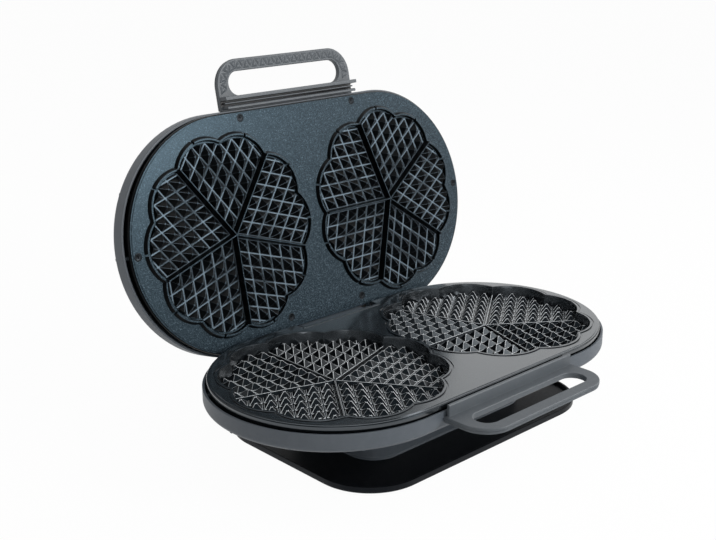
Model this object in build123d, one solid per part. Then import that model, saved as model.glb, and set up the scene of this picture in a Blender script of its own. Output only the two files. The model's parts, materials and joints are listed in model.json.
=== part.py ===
from build123d import *
import os
from math import cos, radians, sin

# Double waffle maker: a lower iron on a pedestal and foot tray, and a lid with a second iron.
# Millimetres. X runs along the long side, Y to the back where the hinge is, Z is up.
# Everything is first drawn with the middle between the two waffles at x = 0, y = 0 and the
# table at z = 0, and with the lid shut. The lid is then swung open and the whole is moved so
# that the origin is the middle of its bounding box, on the table.

# Waffles: five hearts in a ring, each heart with two lobes
HEARTS = 5
WAFFLE_SPACING = 187.0
CUSP_RADIUS = 86.0
NOTCH_RADIUS = 88.0
LOBE_RADIUS = 94.5
LEFT_FIRST_CUSP = 90.0
RIGHT_FIRST_CUSP = 108.0
CAVITY_DEPTH = 10.9
CAVITY_DRAFT = 1.6
LIP_HEIGHT = 0.6
LIP_WIDTH = 2.2
MOAT_WIDTH = 1.6
MOAT_DEPTH = 0.8
PYRAMID_PITCH = 12.2
PYRAMID_TOP = 1.4
GROOVE_FLOOR = 1.2
LOWER_PYRAMID_HEIGHT = 5.2
UPPER_PYRAMID_HEIGHT = 4.8
RIDGE_BASE = 3.6
RIDGE_TOP = 1.0
LOWER_RIDGE_HEIGHT = 3.2
UPPER_RIDGE_HEIGHT = 6.4
SOLE = 0.4
FIELD_MARGIN = 1.2
RING_HEIGHT = 3.2
RING_INSET = 4.3
RING_FOOT = 4.6
RING_DRAFT = 1.7
VENT_WIDTH = 1.8

# Cooking plates
PLATE_LENGTH = 393.0
PLATE_DEPTH = 209.6
PLATE_BACK_SHIFT = 0.5
PLATE_RIM = 4.3
PLATE_EDGE_ROUND = 0.8
EDGE_STEP = 0.5
EDGE_STEP_WIDTH = 2.4
PAN_WALL = 2.2
SKIRT_HEIGHT = 5.5
SKIRT_WALL = 2.3
SKIRT_GAP = 2.5
CLOSED_GAP = 0.3
DRIP_RIB_WIDTH = 2.2
DRIP_RIB_HEIGHT = 0.5

# Casings
CASING_MARGIN = 1.5
CASING_END_MARGIN = 4.0
CASING_WALL = 2.2
CASING_HEIGHT = 15.7
CASING_ROUND = 5.0
RIM_GAP = 1.5
END_RIBS = 5
END_RIB_WALL = 2.0
END_RIB_LENGTH = 6.0

# Pedestal and foot tray
TRAY_LENGTH = 286.5
TRAY_DEPTH = 197.0
TRAY_BACK_SHIFT = 7.5
TRAY_CORNER = 50.0
TRAY_FLOOR = 2.5
TRAY_RIM = 5.4
TRAY_WALL = 2.4
PEDESTAL_LENGTH = 194.0
PEDESTAL_DEPTH = 114.0
PEDESTAL_BACK_SHIFT = 9.0
PEDESTAL_HEIGHT = 44.4
PEDESTAL_CORNER = 24.0
PEDESTAL_WALL = 2.5
PEDESTAL_TOE = 1.4
FOOT_HEIGHT = 2.0
FOOT_RADIUS = 9.0
FOOT_SINK = 1.0
FOOT_INSET = 34.0
WIRE_WAY = (44.0, 26.0)

# Hinge
HINGE_WIDTH = 94.0
HINGE_INSET = 4.8
HINGE_DROP = 8.2
OPEN_ANGLE = 101.8
BARREL_RADIUS = 5.2
BARREL_LENGTH = 74.0
PIN_RADIUS = 2.5
PIN_REACH = 12.0
PIN_HEAD_RADIUS = 3.8
PIN_HEAD = 1.2
EAR_WALL = 5.0
BRACKET_WALL = 2.4
ARM_DEPTH = 11.4
SHELF_WALL = 2.4

# Handles
HANDLE_WIDTH = 155.0
HANDLE_REACH = 44.2
HANDLE_THICK = 5.0
HANDLE_CORNER = 24.0
HANDLE_PARTING = 0.4
FLANGE_LENGTH = 151.0
FLANGE_GAP = 1.4
FLANGE_WALL = 2.6
FLANGE_HEIGHT = 9.7
FLANGE_DROP = 0.2
SLOT_LENGTH = 130.0
SLOT_WIDTH = 21.2
SLOT_SETBACK = 12.2
LID_FLANGE_HEIGHT = 8.0
LEDGE_LENGTH = 154.0
LEDGE_WALL = 3.2
LEDGE_HEIGHT = 9.2
CHANNEL_RIB_WALL = 1.4
CHANNEL_RIB_HEIGHT = 4.5
HANDLE_SCREW_SPREAD = 56.0

# Heating
HEATER_LOOP = 60.0
HEATER_TUBE = 2.2
HEATER_SIDES = 8
HEATER_LEG = 26.0
HEATER_GAP_ANGLE = 24.0
CLAMP_WALL = 0.6
CLAMP_WIDTH = 9.0
CLAMP_FOOT = 7.0
CLAMPS = 3
SHIELD_WALL = 0.5
SHIELD_MARGIN = 8.0
FUSE_LENGTH = 14.0
FUSE_RADIUS = 2.2

# Controls in the lid's top
DIAL_RADIUS = 17.0
DIAL_HEIGHT = 9.0
DIAL_SKIRT = 2.0
DIAL_FRONT = 58.0
DIAL_FLUTES = 18
SHAFT_RADIUS = 3.0
THERMOSTAT_SIZE = (34.0, 26.0, 7.5)
LAMP_RADIUS = 3.2
LAMP_FRONT = 88.0
LAMP_SPREAD = 24.0
LAMP_PROUD = 1.2
BOARD_SIZE = (40.0, 12.0, 1.6)

# Fasteners
SCREW_RADIUS = 1.9
SCREW_HEAD_RADIUS = 3.4
SCREW_HEAD = 2.0
SCREW_SINK = 1.4
BOSS_RADIUS = 5.0
PLATE_SCREW_SPOT = (26.0, 79.0)
LID_SCREW_FRONT = (66.0, 98.5)
LID_SCREW_BACK = (44.0, 85.5)
LID_SCREW_END = 190.0

# Supply
GLAND_RADIUS = 7.0
GLAND_BORE = 3.5
GLAND_FLANGE = 9.5
GLAND_LENGTH = 14.0
GLAND_HEIGHT = 18.0
TERMINAL_SIZE = (36.0, 18.0, 14.0)

# Clearances
FIT = 0.05
NEAR = 0.3
EASY = 1.0

# Heights that follow
TRAY_BOTTOM = FOOT_HEIGHT
TRAY_TOP = TRAY_BOTTOM + TRAY_FLOOR
CASING_BOTTOM = TRAY_TOP + PEDESTAL_HEIGHT
CASING_TOP = CASING_BOTTOM + CASING_HEIGHT
FACE = CASING_TOP + RIM_GAP + PLATE_RIM
SLAB_BOTTOM = FACE - PLATE_RIM
LIP_TOP = FACE + LIP_HEIGHT
CAVITY_FLOOR = FACE - CAVITY_DEPTH
PAN_BOTTOM = CAVITY_FLOOR - PAN_WALL
SHUT_FACE = LIP_TOP + CLOSED_GAP
SHUT_SLAB_TOP = SHUT_FACE + PLATE_RIM
LID_CASING_BOTTOM = SHUT_SLAB_TOP + RIM_GAP
LID_TOP = LID_CASING_BOTTOM + CASING_HEIGHT

# Places that follow
PLATE_BACK = PLATE_BACK_SHIFT + PLATE_DEPTH / 2
CASING_FRONT = PLATE_BACK_SHIFT - PLATE_DEPTH / 2 - CASING_MARGIN
HINGE_Y = PLATE_BACK - HINGE_INSET
HINGE_Z = FACE - HINGE_DROP
EAR_RADIUS = BARREL_RADIUS + 2 * FIT
RECESS_EDGE = HINGE_Y - EAR_RADIUS - NEAR
POCKET_WALL_Y = HINGE_Y - BARREL_RADIUS - EASY - BRACKET_WALL
PAN_RADIUS = LOBE_RADIUS + PAN_WALL
WAFFLES = ((-WAFFLE_SPACING / 2, LEFT_FIRST_CUSP), (WAFFLE_SPACING / 2, RIGHT_FIRST_CUSP))
HEART_ANGLE = 360.0 / HEARTS
FAR = 4 * PLATE_LENGTH


def polar(radius, angle):
    """A point at a radius and an angle in degrees."""
    return (radius * cos(radians(angle)), radius * sin(radians(angle)))


def lobed_outline(grow, first_cusp):
    """The scalloped outline of one waffle, grown outwards by a margin: two lobes to a heart."""
    arcs = []
    for k in range(2 * HEARTS):
        start = first_cusp + k * HEART_ANGLE / 2
        radii = (CUSP_RADIUS, NOTCH_RADIUS) if k % 2 == 0 else (NOTCH_RADIUS, CUSP_RADIUS)
        arcs.append(
            ThreePointArc(
                polar(radii[0] + grow, start),
                polar(LOBE_RADIUS + grow, start + HEART_ANGLE / 4),
                polar(radii[1] + grow, start + HEART_ANGLE / 2),
            )
        )
    return make_face(arcs)


def lobed_block(first_cusp, low_grow, low, high_grow, high):
    """A block with the waffle's outline that narrows or widens between two heights."""
    lower = Pos(0, 0, low) * lobed_outline(low_grow, first_cusp)
    upper = Pos(0, 0, high) * lobed_outline(high_grow, first_cusp)
    return loft([lower, upper], ruled=True)


def bar(section, angle, length):
    """A straight bar of a section drawn in the plane across it, from the centre outwards."""
    plane = Plane(origin=(0, 0, 0), x_dir=(-sin(radians(angle)), cos(radians(angle)), 0),
                  z_dir=(cos(radians(angle)), sin(radians(angle)), 0))
    return extrude(plane * section, length)


def groove_cutters(angle, inward, height):
    """Grooves that run parallel to one edge of a heart, a pitch apart, with a narrow flat floor."""
    pitch = PYRAMID_PITCH * sin(radians(HEART_ANGLE))
    mouth, floor = (pitch - PYRAMID_TOP) / 2, GROOVE_FLOOR / 2
    over = height * 0.1
    widen = (mouth - floor) * over / (height - SOLE)
    section = make_face(Polyline((-floor, SOLE), (floor, SOLE), (mouth + widen, height + over),
                                 (-mouth - widen, height + over), close=True))
    cutters = []
    count = int(LOBE_RADIUS / pitch) + 1
    for k in range(count):
        shift = inward * (RIDGE_BASE / 2 + k * pitch)
        groove = bar(Pos(shift, 0) * section, angle, 2 * LOBE_RADIUS)
        back = polar(-LOBE_RADIUS / 2, angle)
        cutters.append(Pos(back[0], back[1], 0) * groove)
    return cutters


def heart_field(height, outline_grow):
    """The pyramids of one heart, between 0 and one heart's angle, let into the floor at z = 0.

    Grooves parallel to both edges of the heart leave rhombic pyramids with small flat tops.
    """
    wedge = make_face(Polyline((0, 0), polar(FAR, 0), polar(FAR, HEART_ANGLE), close=True))
    bisector = HEART_ANGLE / 2
    setback = (RIDGE_BASE / 2) / sin(radians(bisector))
    tip = polar(setback, bisector)
    outline = lobed_outline(outline_grow, 0) & (Pos(*tip) * wedge)
    block = Pos(0, 0, -SOLE) * extrude(outline, height + SOLE)
    return block - (groove_cutters(0, 1, height) + groove_cutters(HEART_ANGLE, -1, height))


def rosette(height, ridge_height, outline_grow, reach):
    """Five hearts of pyramids and the walls between them, the first wall along +X."""
    half, top = RIDGE_BASE / 2 + NEAR, RIDGE_TOP / 2
    wall = make_face(Polyline((-half, -SOLE), (half, -SOLE), (top, ridge_height),
                              (-top, ridge_height), close=True))
    field = heart_field(height, outline_grow)
    fields = [Rot(0, 0, k * HEART_ANGLE) * field for k in range(HEARTS)]
    walls = [bar(wall, k * HEART_ANGLE, reach) for k in range(HEARTS)]
    hub = Pos(0, 0, -SOLE) * extrude(Circle(half), ridge_height * 0.6 + SOLE)
    return hub + walls + fields


def stadium(length, depth):
    """A flat outline with round ends."""
    return Pos(0, PLATE_BACK_SHIFT) * SlotOverall(length, depth)


def casing_outline(inset):
    """The casing's outline drawn in by an amount, with the hinge pocket cut from its back."""
    length = PLATE_LENGTH + 2 * (CASING_END_MARGIN - inset)
    shape = stadium(length, PLATE_DEPTH + 2 * (CASING_MARGIN - inset))
    width = HINGE_WIDTH + 2 * inset
    front = POCKET_WALL_Y - inset
    pocket = Pos(0, front + PLATE_DEPTH / 2) * Rectangle(width, PLATE_DEPTH)
    return shape - pocket


def plate_slab():
    """The flat plate from z = 0 up, its border a step lower, notched for the hinge."""
    notch = Pos(0, RECESS_EDGE + PLATE_DEPTH / 2) * Rectangle(HINGE_WIDTH, PLATE_DEPTH)
    slab = extrude(stadium(PLATE_LENGTH, PLATE_DEPTH) - notch, PLATE_RIM - EDGE_STEP)
    rim = slab.faces().sort_by(Axis.Z)[-1].outer_wire().edges()
    slab = chamfer(rim, PLATE_EDGE_ROUND)
    border = 2 * EDGE_STEP_WIDTH
    face = extrude(stadium(PLATE_LENGTH - border, PLATE_DEPTH - border) - notch, PLATE_RIM)
    return slab + face


def skirt():
    """The wall under a plate's rim that stands inside the casing, from z = 0 downwards."""
    gap = CASING_WALL + SKIRT_GAP
    ring = casing_outline(gap) - casing_outline(gap + SKIRT_WALL)
    return extrude(ring, -SKIRT_HEIGHT)


def lower_plate():
    """The lower iron: two scalloped pans with a raised lip, each filled with five hearts."""
    plate = Pos(0, 0, SLAB_BOTTOM) * (plate_slab() + skirt())
    bodies = []
    for x, _ in WAFFLES:
        bodies.append(Pos(x, 0, PAN_BOTTOM) * extrude(Circle(PAN_RADIUS), SLAB_BOTTOM - PAN_BOTTOM))
    for x, cusp in WAFFLES:
        bodies.append(Pos(x, 0, 0) * lobed_block(cusp, LIP_WIDTH, FACE - NEAR, LIP_WIDTH, LIP_TOP))
    rib = Pos(0, RECESS_EDGE - DRIP_RIB_WIDTH, FACE - NEAR) * extrude(
        Rectangle(HINGE_WIDTH, DRIP_RIB_WIDTH), DRIP_RIB_HEIGHT + NEAR)
    plate = plate + bodies + rib
    cavities = []
    for x, cusp in WAFFLES:
        moat = lobed_outline(LIP_WIDTH + MOAT_WIDTH, cusp) - lobed_outline(LIP_WIDTH, cusp)
        cavities.append(Pos(x, 0, FACE - MOAT_DEPTH) * extrude(moat, MOAT_DEPTH + LIP_HEIGHT / 2))
        slope = CAVITY_DRAFT / (LIP_TOP - CAVITY_FLOOR)
        over = EASY * slope
        cavities.append(Pos(x, 0, 0) * lobed_block(
            cusp, -CAVITY_DRAFT, CAVITY_FLOOR, over, LIP_TOP + EASY))
    plate = plate - cavities - plate_screw_holes()
    hearts = rosette(LOWER_PYRAMID_HEIGHT, LOWER_RIDGE_HEIGHT, -CAVITY_DRAFT - FIELD_MARGIN,
                     CUSP_RADIUS - EASY)
    return plate + [Pos(x, 0, CAVITY_FLOOR) * Rot(0, 0, cusp) * hearts for x, cusp in WAFFLES]


def plate_screw_spots():
    """The four places where the lower plate is screwed to the casing."""
    x, y = PLATE_SCREW_SPOT
    return [(sx * x, sy * y) for sx in (-1, 1) for sy in (-1, 1)]


def plate_screw_holes():
    """Blind holes in the underside of the lower plate."""
    depth = PLATE_RIM * 0.75
    return [Pos(x, y, SLAB_BOTTOM) * extrude(Circle(SCREW_RADIUS), depth) for x, y in plate_screw_spots()]


def ring_wall(cusp):
    """The raised border of an upper waffle, hanging from z = 0, with a vent in each lobe."""
    foot = -RING_INSET
    crest = foot - RING_DRAFT
    inner = foot - RING_FOOT
    outer = lobed_block(cusp, crest, -RING_HEIGHT, foot + RING_DRAFT * NEAR / RING_HEIGHT, NEAR)
    hollow = lobed_block(cusp, inner + RING_DRAFT * 0.8, -RING_HEIGHT - EASY, inner, NEAR + EASY)
    wall = outer - hollow
    vents = []
    for k in range(2 * HEARTS):
        angle = cusp + (k + 0.5) * HEART_ANGLE / 2
        slot = Pos(0, -RING_HEIGHT / 2 - EASY) * Rectangle(VENT_WIDTH, RING_HEIGHT + 2 * EASY)
        vents.append(bar(slot, angle, LOBE_RADIUS))
    return wall - vents


def upper_plate():
    """The lid's iron, drawn shut: two raised waffles with a border ring, facing down."""
    flip = Pos(0, 0, SHUT_SLAB_TOP) * mirror(plate_slab(), about=Plane.XY)
    reliefs = [Pos(x, y, -SKIRT_HEIGHT) * extrude(Circle(BOSS_RADIUS + EASY), SKIRT_HEIGHT)
               for x, y in lid_screw_spots()]
    raised = mirror(skirt() - reliefs, about=Plane.XY)
    plate = flip + Pos(0, 0, SHUT_SLAB_TOP) * raised
    plate = plate + [Pos(x, 0, SHUT_FACE) * ring_wall(cusp) for x, cusp in WAFFLES]
    plate = plate - lid_screw_holes()
    hearts = rosette(UPPER_PYRAMID_HEIGHT, UPPER_RIDGE_HEIGHT, -RING_INSET - RING_FOOT - FIELD_MARGIN,
                     CUSP_RADIUS - RING_INSET - RING_FOOT / 2)
    return plate + [Pos(x, 0, SHUT_FACE) * Rot(180, 0, 0) * Rot(0, 0, -cusp) * hearts
                    for x, cusp in WAFFLES]


def lid_screw_spots():
    """The six places where the lid's plate is screwed to its casing."""
    spots = [(sx * LID_SCREW_FRONT[0], -LID_SCREW_FRONT[1]) for sx in (-1, 1)]
    spots += [(sx * LID_SCREW_BACK[0], LID_SCREW_BACK[1]) for sx in (-1, 1)]
    spots += [(sx * LID_SCREW_END, 0) for sx in (-1, 1)]
    return spots


def lid_screw_holes():
    """Holes through the upper plate, wide below for the screws' heads."""
    holes = []
    for x, y in lid_screw_spots():
        through = extrude(Circle(SCREW_RADIUS + FIT), PLATE_RIM + 2 * EASY)
        holes.append(Pos(x, y, SHUT_FACE - EASY) * through)
        seat = extrude(Circle(SCREW_HEAD_RADIUS + FIT), SCREW_HEAD + EASY)
        holes.append(Pos(x, y, SHUT_FACE - EASY) * seat)
    return holes


def screw(length):
    """A pan-head screw that points up, its head below z = 0."""
    head = Pos(0, 0, -SCREW_HEAD) * extrude(Circle(SCREW_HEAD_RADIUS), SCREW_HEAD)
    drive = Pos(0, 0, -SCREW_HEAD) * extrude(Rectangle(SCREW_HEAD_RADIUS, SCREW_HEAD * 0.3), SCREW_HEAD / 2)
    return head - drive + extrude(Circle(SCREW_RADIUS), length)


def casing_shell():
    """An open tray with the casing's outline: floor at z = 0, walls up to the casing's height."""
    solid = extrude(casing_outline(0), CASING_HEIGHT)
    bottom = solid.faces().sort_by(Axis.Z)[0].outer_wire().edges()
    curved = bottom.filter_by(lambda edge: edge.bounding_box().max.Y < POCKET_WALL_Y - EASY
                              or edge.bounding_box().size.X > HINGE_WIDTH)
    solid = fillet(curved, CASING_ROUND) if curved else solid
    hollow = Pos(0, 0, CASING_WALL) * extrude(casing_outline(CASING_WALL), CASING_HEIGHT)
    return solid - hollow


def end_ribs():
    """Ribs inside the round ends of a casing that carry the plate's skirt, floor at z = 0."""
    top = CASING_HEIGHT + RIM_GAP - SKIRT_HEIGHT
    reach = PLATE_DEPTH / 2 + CASING_MARGIN - CASING_WALL / 2
    ribs = []
    for side in (-1, 1):
        middle = side * (PLATE_LENGTH - PLATE_DEPTH) / 2 + side * (CASING_END_MARGIN - CASING_MARGIN)
        for k in range(END_RIBS):
            angle = (k - (END_RIBS - 1) / 2) * 150.0 / END_RIBS + (90 - 90 * side)
            block = Pos(reach - END_RIB_LENGTH / 2, 0, 0) * Rectangle(END_RIB_LENGTH, END_RIB_WALL)
            ribs.append(Pos(middle, PLATE_BACK_SHIFT, CASING_WALL / 2) * Rot(0, 0, angle)
                        * extrude(block, top - CASING_WALL / 2))
    return ribs


def lower_casing():
    """The lower housing: shell, screw pillars, end ribs and the way for the wires."""
    shell = casing_shell() + end_ribs()
    pillar_top = SLAB_BOTTOM - CASING_BOTTOM
    pillars = [Pos(x, y, 0) * extrude(Circle(BOSS_RADIUS), pillar_top) for x, y in plate_screw_spots()]
    shell = shell + pillars
    cuts = []
    for x, y in plate_screw_spots():
        cuts.append(Pos(x, y, -EASY) * extrude(Circle(SCREW_RADIUS + FIT), pillar_top + 2 * EASY))
        cuts.append(Pos(x, y, -EASY) * extrude(Circle(SCREW_HEAD_RADIUS + FIT), SCREW_HEAD + 2 * EASY))
    cuts.append(Pos(0, PEDESTAL_BACK_SHIFT, -EASY) * extrude(Rectangle(*WIRE_WAY), CASING_WALL + 2 * EASY))
    for x, y in pedestal_top_screw_spots():
        cuts.append(Pos(x, y, -EASY) * extrude(Circle(SCREW_RADIUS + FIT), CASING_WALL + 2 * EASY))
    shell = Pos(0, 0, CASING_BOTTOM) * (shell - cuts)
    return shell - lower_handle_screw_holes() - bracket_screw_holes()


def upper_casing():
    """The lid's housing, drawn shut: the shell upside down, with its screw pillars."""
    shell = casing_shell()
    deep = LID_TOP - SHUT_SLAB_TOP
    pillars = [Pos(x, y, 0) * extrude(Circle(BOSS_RADIUS), deep) for x, y in lid_screw_spots()]
    shell = shell + [pillar & extrude(casing_outline(CASING_WALL / 2), deep) for pillar in pillars]
    shell = shell + end_ribs()
    holes = []
    for x, y in lid_screw_spots():
        holes.append(Pos(x, y, CASING_WALL * 2) * extrude(Circle(SCREW_RADIUS), deep))
    shell = shell - holes
    shell = Pos(0, 0, LID_TOP) * mirror(shell, about=Plane.XY)
    cuts = [Pos(0, -DIAL_FRONT, LID_TOP - 2 * CASING_WALL) * extrude(
        Circle(SHAFT_RADIUS + EASY), 3 * CASING_WALL)]
    for x in (-LAMP_SPREAD / 2, LAMP_SPREAD / 2):
        cuts.append(Pos(x, -LAMP_FRONT, LID_TOP - 2 * CASING_WALL) * extrude(
            Circle(LAMP_RADIUS + FIT), 3 * CASING_WALL))
    return shell - cuts - upper_handle_screw_holes() - block_screw_holes()


def handle(flange_height):
    """One L-shaped grip: a flat loop with a finger slot and a flange in front of the casing.

    The loop's back edge is at y = 0 against the casing, its plain side at z = 0.
    """
    loop = Pos(0, -HANDLE_REACH / 2) * Rectangle(HANDLE_WIDTH, HANDLE_REACH)
    front = loop.vertices().group_by(Axis.Y)[0]
    loop = fillet(front, HANDLE_CORNER)
    slot = Pos(0, -SLOT_SETBACK - SLOT_WIDTH / 2) * SlotOverall(SLOT_LENGTH, SLOT_WIDTH)
    grip = extrude(loop - slot, HANDLE_THICK)
    edges = grip.edges().filter_by(Plane.XY).filter_by(
        lambda edge: edge.bounding_box().max.Y < -FIT and edge.bounding_box().min.Y < -FLANGE_WALL - EASY)
    grip = fillet(edges, PLATE_EDGE_ROUND)
    lower_half = extrude(offset(loop, EASY) - offset(loop, -HANDLE_PARTING), HANDLE_THICK * 0.45)
    flange = Pos(0, -FLANGE_GAP - FLANGE_WALL / 2, 0) * extrude(
        Rectangle(FLANGE_LENGTH, FLANGE_WALL), HANDLE_THICK + flange_height)
    top = flange.faces().sort_by(Axis.Z)[-1].edges().sort_by(Axis.Y)[0]
    return (grip - lower_half) + chamfer(top, PLATE_EDGE_ROUND)


def lower_handle():
    """The lower grip, against the casing's front wall."""
    rise = FACE - FLANGE_DROP - FLANGE_HEIGHT - HANDLE_THICK
    return Pos(0, CASING_FRONT, rise) * handle(FLANGE_HEIGHT) - lower_handle_screw_holes()


def ledge():
    """The raised wall along the slot of the lid's grip, and the rib in the channel behind it."""
    base = HANDLE_THICK / 2
    wall = Pos(0, -SLOT_SETBACK + LEDGE_WALL / 2, base) * extrude(
        Rectangle(LEDGE_LENGTH, LEDGE_WALL), base + LEDGE_HEIGHT)
    middle = -(FLANGE_GAP + FLANGE_WALL + SLOT_SETBACK - LEDGE_WALL) / 2
    rib = Pos(0, middle, base) * extrude(
        Rectangle(FLANGE_LENGTH, CHANNEL_RIB_WALL), base + CHANNEL_RIB_HEIGHT)
    return wall + rib


def upper_handle():
    """The lid's grip, drawn shut: the same form upside down, with a ledge along its slot."""
    rise = SHUT_FACE + FLANGE_DROP + FLANGE_HEIGHT + HANDLE_THICK
    grip = mirror(handle(LID_FLANGE_HEIGHT) + ledge(), about=Plane.XY)
    return Pos(0, CASING_FRONT, rise) * grip - upper_handle_screw_holes()


def handle_screw_height():
    """How far the handle screws lie from the plate's face, in the middle of the loop's wall."""
    return FLANGE_DROP + FLANGE_HEIGHT + HANDLE_THICK / 2


def along_y(x, z, radius, y_from, y_to):
    """A round bar or hole along Y."""
    plane = Plane(origin=(x, y_from, z), x_dir=(1, 0, 0), z_dir=(0, 1, 0))
    return extrude(plane * Circle(radius), y_to - y_from)


def handle_bores(z):
    """The holes of two handle screws through the casing wall into the handle."""
    deep = CASING_FRONT - SLOT_SETBACK * 0.7
    return [along_y(sx * HANDLE_SCREW_SPREAD, z, SCREW_RADIUS, deep, CASING_FRONT + CASING_WALL + EASY)
            for sx in (-1, 1)]


def lower_handle_screw_holes():
    """The lower handle's screw holes."""
    return handle_bores(FACE - handle_screw_height())


def upper_handle_screw_holes():
    """The lid handle's screw holes, drawn shut."""
    return handle_bores(SHUT_FACE + handle_screw_height())


def handle_screws(z):
    """Two screws, heads inside the casing, that hold a handle."""
    inner = CASING_FRONT + CASING_WALL
    length = CASING_WALL + SLOT_SETBACK * 0.6
    turn = Rot(90, 0, 0)
    screws = [Pos(sx * HANDLE_SCREW_SPREAD, inner, z) * turn * screw(length) for sx in (-1, 1)]
    return Compound(screws)


def hinge_bracket():
    """The bracket in the lower casing's pocket: a wall, two ears for the pins and a stop shelf."""
    depth_to_axis = HINGE_Y - POCKET_WALL_Y
    ear_outer = BARREL_LENGTH / 2 + NEAR + EAR_WALL
    arm_back = (ARM_DEPTH - BARREL_RADIUS) / sin(radians(OPEN_ANGLE))
    arm_slope = cos(radians(OPEN_ANGLE)) / sin(radians(OPEN_ANGLE))
    shelf_top = HINGE_Z - arm_back + (PLATE_BACK - HINGE_Y) * arm_slope - NEAR
    low = shelf_top - SHELF_WALL
    back_wall = Pos(0, POCKET_WALL_Y + BRACKET_WALL / 2, low) * extrude(
        Rectangle(2 * ear_outer, BRACKET_WALL), SLAB_BOTTOM - NEAR - low)
    shelf_depth = PLATE_BACK - POCKET_WALL_Y
    shelf = Pos(0, POCKET_WALL_Y + shelf_depth / 2, low) * extrude(
        Rectangle(2 * ear_outer, shelf_depth), SHELF_WALL)
    ears = []
    for side in (-1, 1):
        plane = Plane(origin=(side * (BARREL_LENGTH / 2 + NEAR + EAR_WALL / 2), HINGE_Y, HINGE_Z),
                      x_dir=(0, 1, 0), z_dir=(1, 0, 0))
        drop = HINGE_Z - low
        web = Pos(-(depth_to_axis - EAR_RADIUS) / 2, -drop / 2) * Rectangle(
            depth_to_axis + EAR_RADIUS, drop)
        upper = Pos(-depth_to_axis / 2, 0) * Rectangle(depth_to_axis, 2 * (SLAB_BOTTOM - NEAR - HINGE_Z))
        profile = (web + upper + Circle(EAR_RADIUS)) - Circle(PIN_RADIUS + FIT / 2)
        ears.append(extrude(plane * profile, EAR_WALL / 2, both=True))
    return (back_wall + shelf + ears) - bracket_screw_holes()


def bracket_screw_spots():
    """Where the bracket is screwed to the pocket wall."""
    z = HINGE_Z - BARREL_RADIUS - EASY
    return [(sx * (HINGE_WIDTH / 4), z) for sx in (-1, 1)]


def bracket_screw_holes():
    """Holes through the bracket's wall and the pocket wall."""
    y_from = POCKET_WALL_Y - CASING_WALL - EASY
    return [along_y(x, z, SCREW_RADIUS, y_from, POCKET_WALL_Y + BRACKET_WALL + EASY)
            for x, z in bracket_screw_spots()]


def bracket_screws():
    """Two screws from inside the casing into the bracket."""
    turn = Rot(-90, 0, 0)
    inner = POCKET_WALL_Y - CASING_WALL
    screws = [Pos(x, inner, z) * turn * screw(CASING_WALL + BRACKET_WALL) for x, z in bracket_screw_spots()]
    return Compound(screws)


def hinge_pins():
    """Two pins, each through an ear into an end of the barrel."""
    pins = []
    outer = BARREL_LENGTH / 2 + NEAR + EAR_WALL
    for side in (-1, 1):
        plane = Plane(origin=(side * (BARREL_LENGTH / 2 - PIN_REACH), HINGE_Y, HINGE_Z),
                      x_dir=(0, 1, 0), z_dir=(side, 0, 0))
        shank = extrude(plane * Circle(PIN_RADIUS), outer - BARREL_LENGTH / 2 + PIN_REACH)
        head_plane = Plane(origin=(side * outer, HINGE_Y, HINGE_Z), x_dir=(0, 1, 0), z_dir=(side, 0, 0))
        pins.append(shank + extrude(head_plane * Circle(PIN_HEAD_RADIUS), PIN_HEAD))
    return Compound(pins)


def hinge_block():
    """The lid's hinge, drawn shut: a barrel on the pins and an arm up into the lid's pocket."""
    plane = Plane(origin=(0, HINGE_Y, HINGE_Z), x_dir=(0, 1, 0), z_dir=(1, 0, 0))
    rise = LID_TOP - CASING_ROUND - HINGE_Z
    arm = Pos(ARM_DEPTH / 2 - BARREL_RADIUS, rise / 2) * Rectangle(ARM_DEPTH, rise)
    top = SHUT_SLAB_TOP + NEAR - HINGE_Z
    foot_depth = HINGE_Y - BARREL_RADIUS - POCKET_WALL_Y
    foot = Pos(-BARREL_RADIUS - foot_depth / 2 + EASY / 2, (top + rise) / 2) * Rectangle(
        foot_depth + EASY, rise - top)
    profile = Circle(BARREL_RADIUS) + arm + foot
    block = extrude(plane * profile, BARREL_LENGTH / 2, both=True)
    bores = []
    for side in (-1, 1):
        deep = Plane(origin=(side * BARREL_LENGTH / 2, HINGE_Y, HINGE_Z), x_dir=(0, 1, 0), z_dir=(-side, 0, 0))
        bores.append(extrude(deep * Circle(PIN_RADIUS + FIT), PIN_REACH + EASY))
    return block - bores - block_screw_holes()


def block_screw_spots():
    """Where the hinge block is screwed to the lid's pocket wall, drawn shut."""
    z = (SHUT_SLAB_TOP + LID_TOP) / 2 + EASY
    return [(sx * HINGE_WIDTH / 4, z) for sx in (-1, 1)]


def block_screw_holes():
    """Holes through the lid's pocket wall into the hinge block."""
    y_from = POCKET_WALL_Y - CASING_WALL - EASY
    return [along_y(x, z, SCREW_RADIUS, y_from, HINGE_Y) for x, z in block_screw_spots()]


def block_screws():
    """Two screws from inside the lid into the hinge block."""
    turn = Rot(-90, 0, 0)
    inner = POCKET_WALL_Y - CASING_WALL
    length = HINGE_Y - inner - EASY
    screws = [Pos(x, inner, z) * turn * screw(length) for x, z in block_screw_spots()]
    return Compound(screws)


def tray_outline(inset):
    """The foot tray's rounded outline, drawn in by an amount."""
    shape = RectangleRounded(TRAY_LENGTH - 2 * inset, TRAY_DEPTH - 2 * inset, TRAY_CORNER - inset)
    return Pos(0, TRAY_BACK_SHIFT) * shape


def foot_spots():
    """The four feet, inside the tray's corners."""
    x = TRAY_LENGTH / 2 - FOOT_INSET
    y = TRAY_DEPTH / 2 - FOOT_INSET
    return [(sx * x, TRAY_BACK_SHIFT + sy * y) for sx in (-1, 1) for sy in (-1, 1)]


def pedestal_outline(inset):
    """The pedestal's rounded outline, drawn in by an amount."""
    shape = RectangleRounded(PEDESTAL_LENGTH - 2 * inset, PEDESTAL_DEPTH - 2 * inset, PEDESTAL_CORNER - inset)
    return Pos(0, PEDESTAL_BACK_SHIFT) * shape


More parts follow.
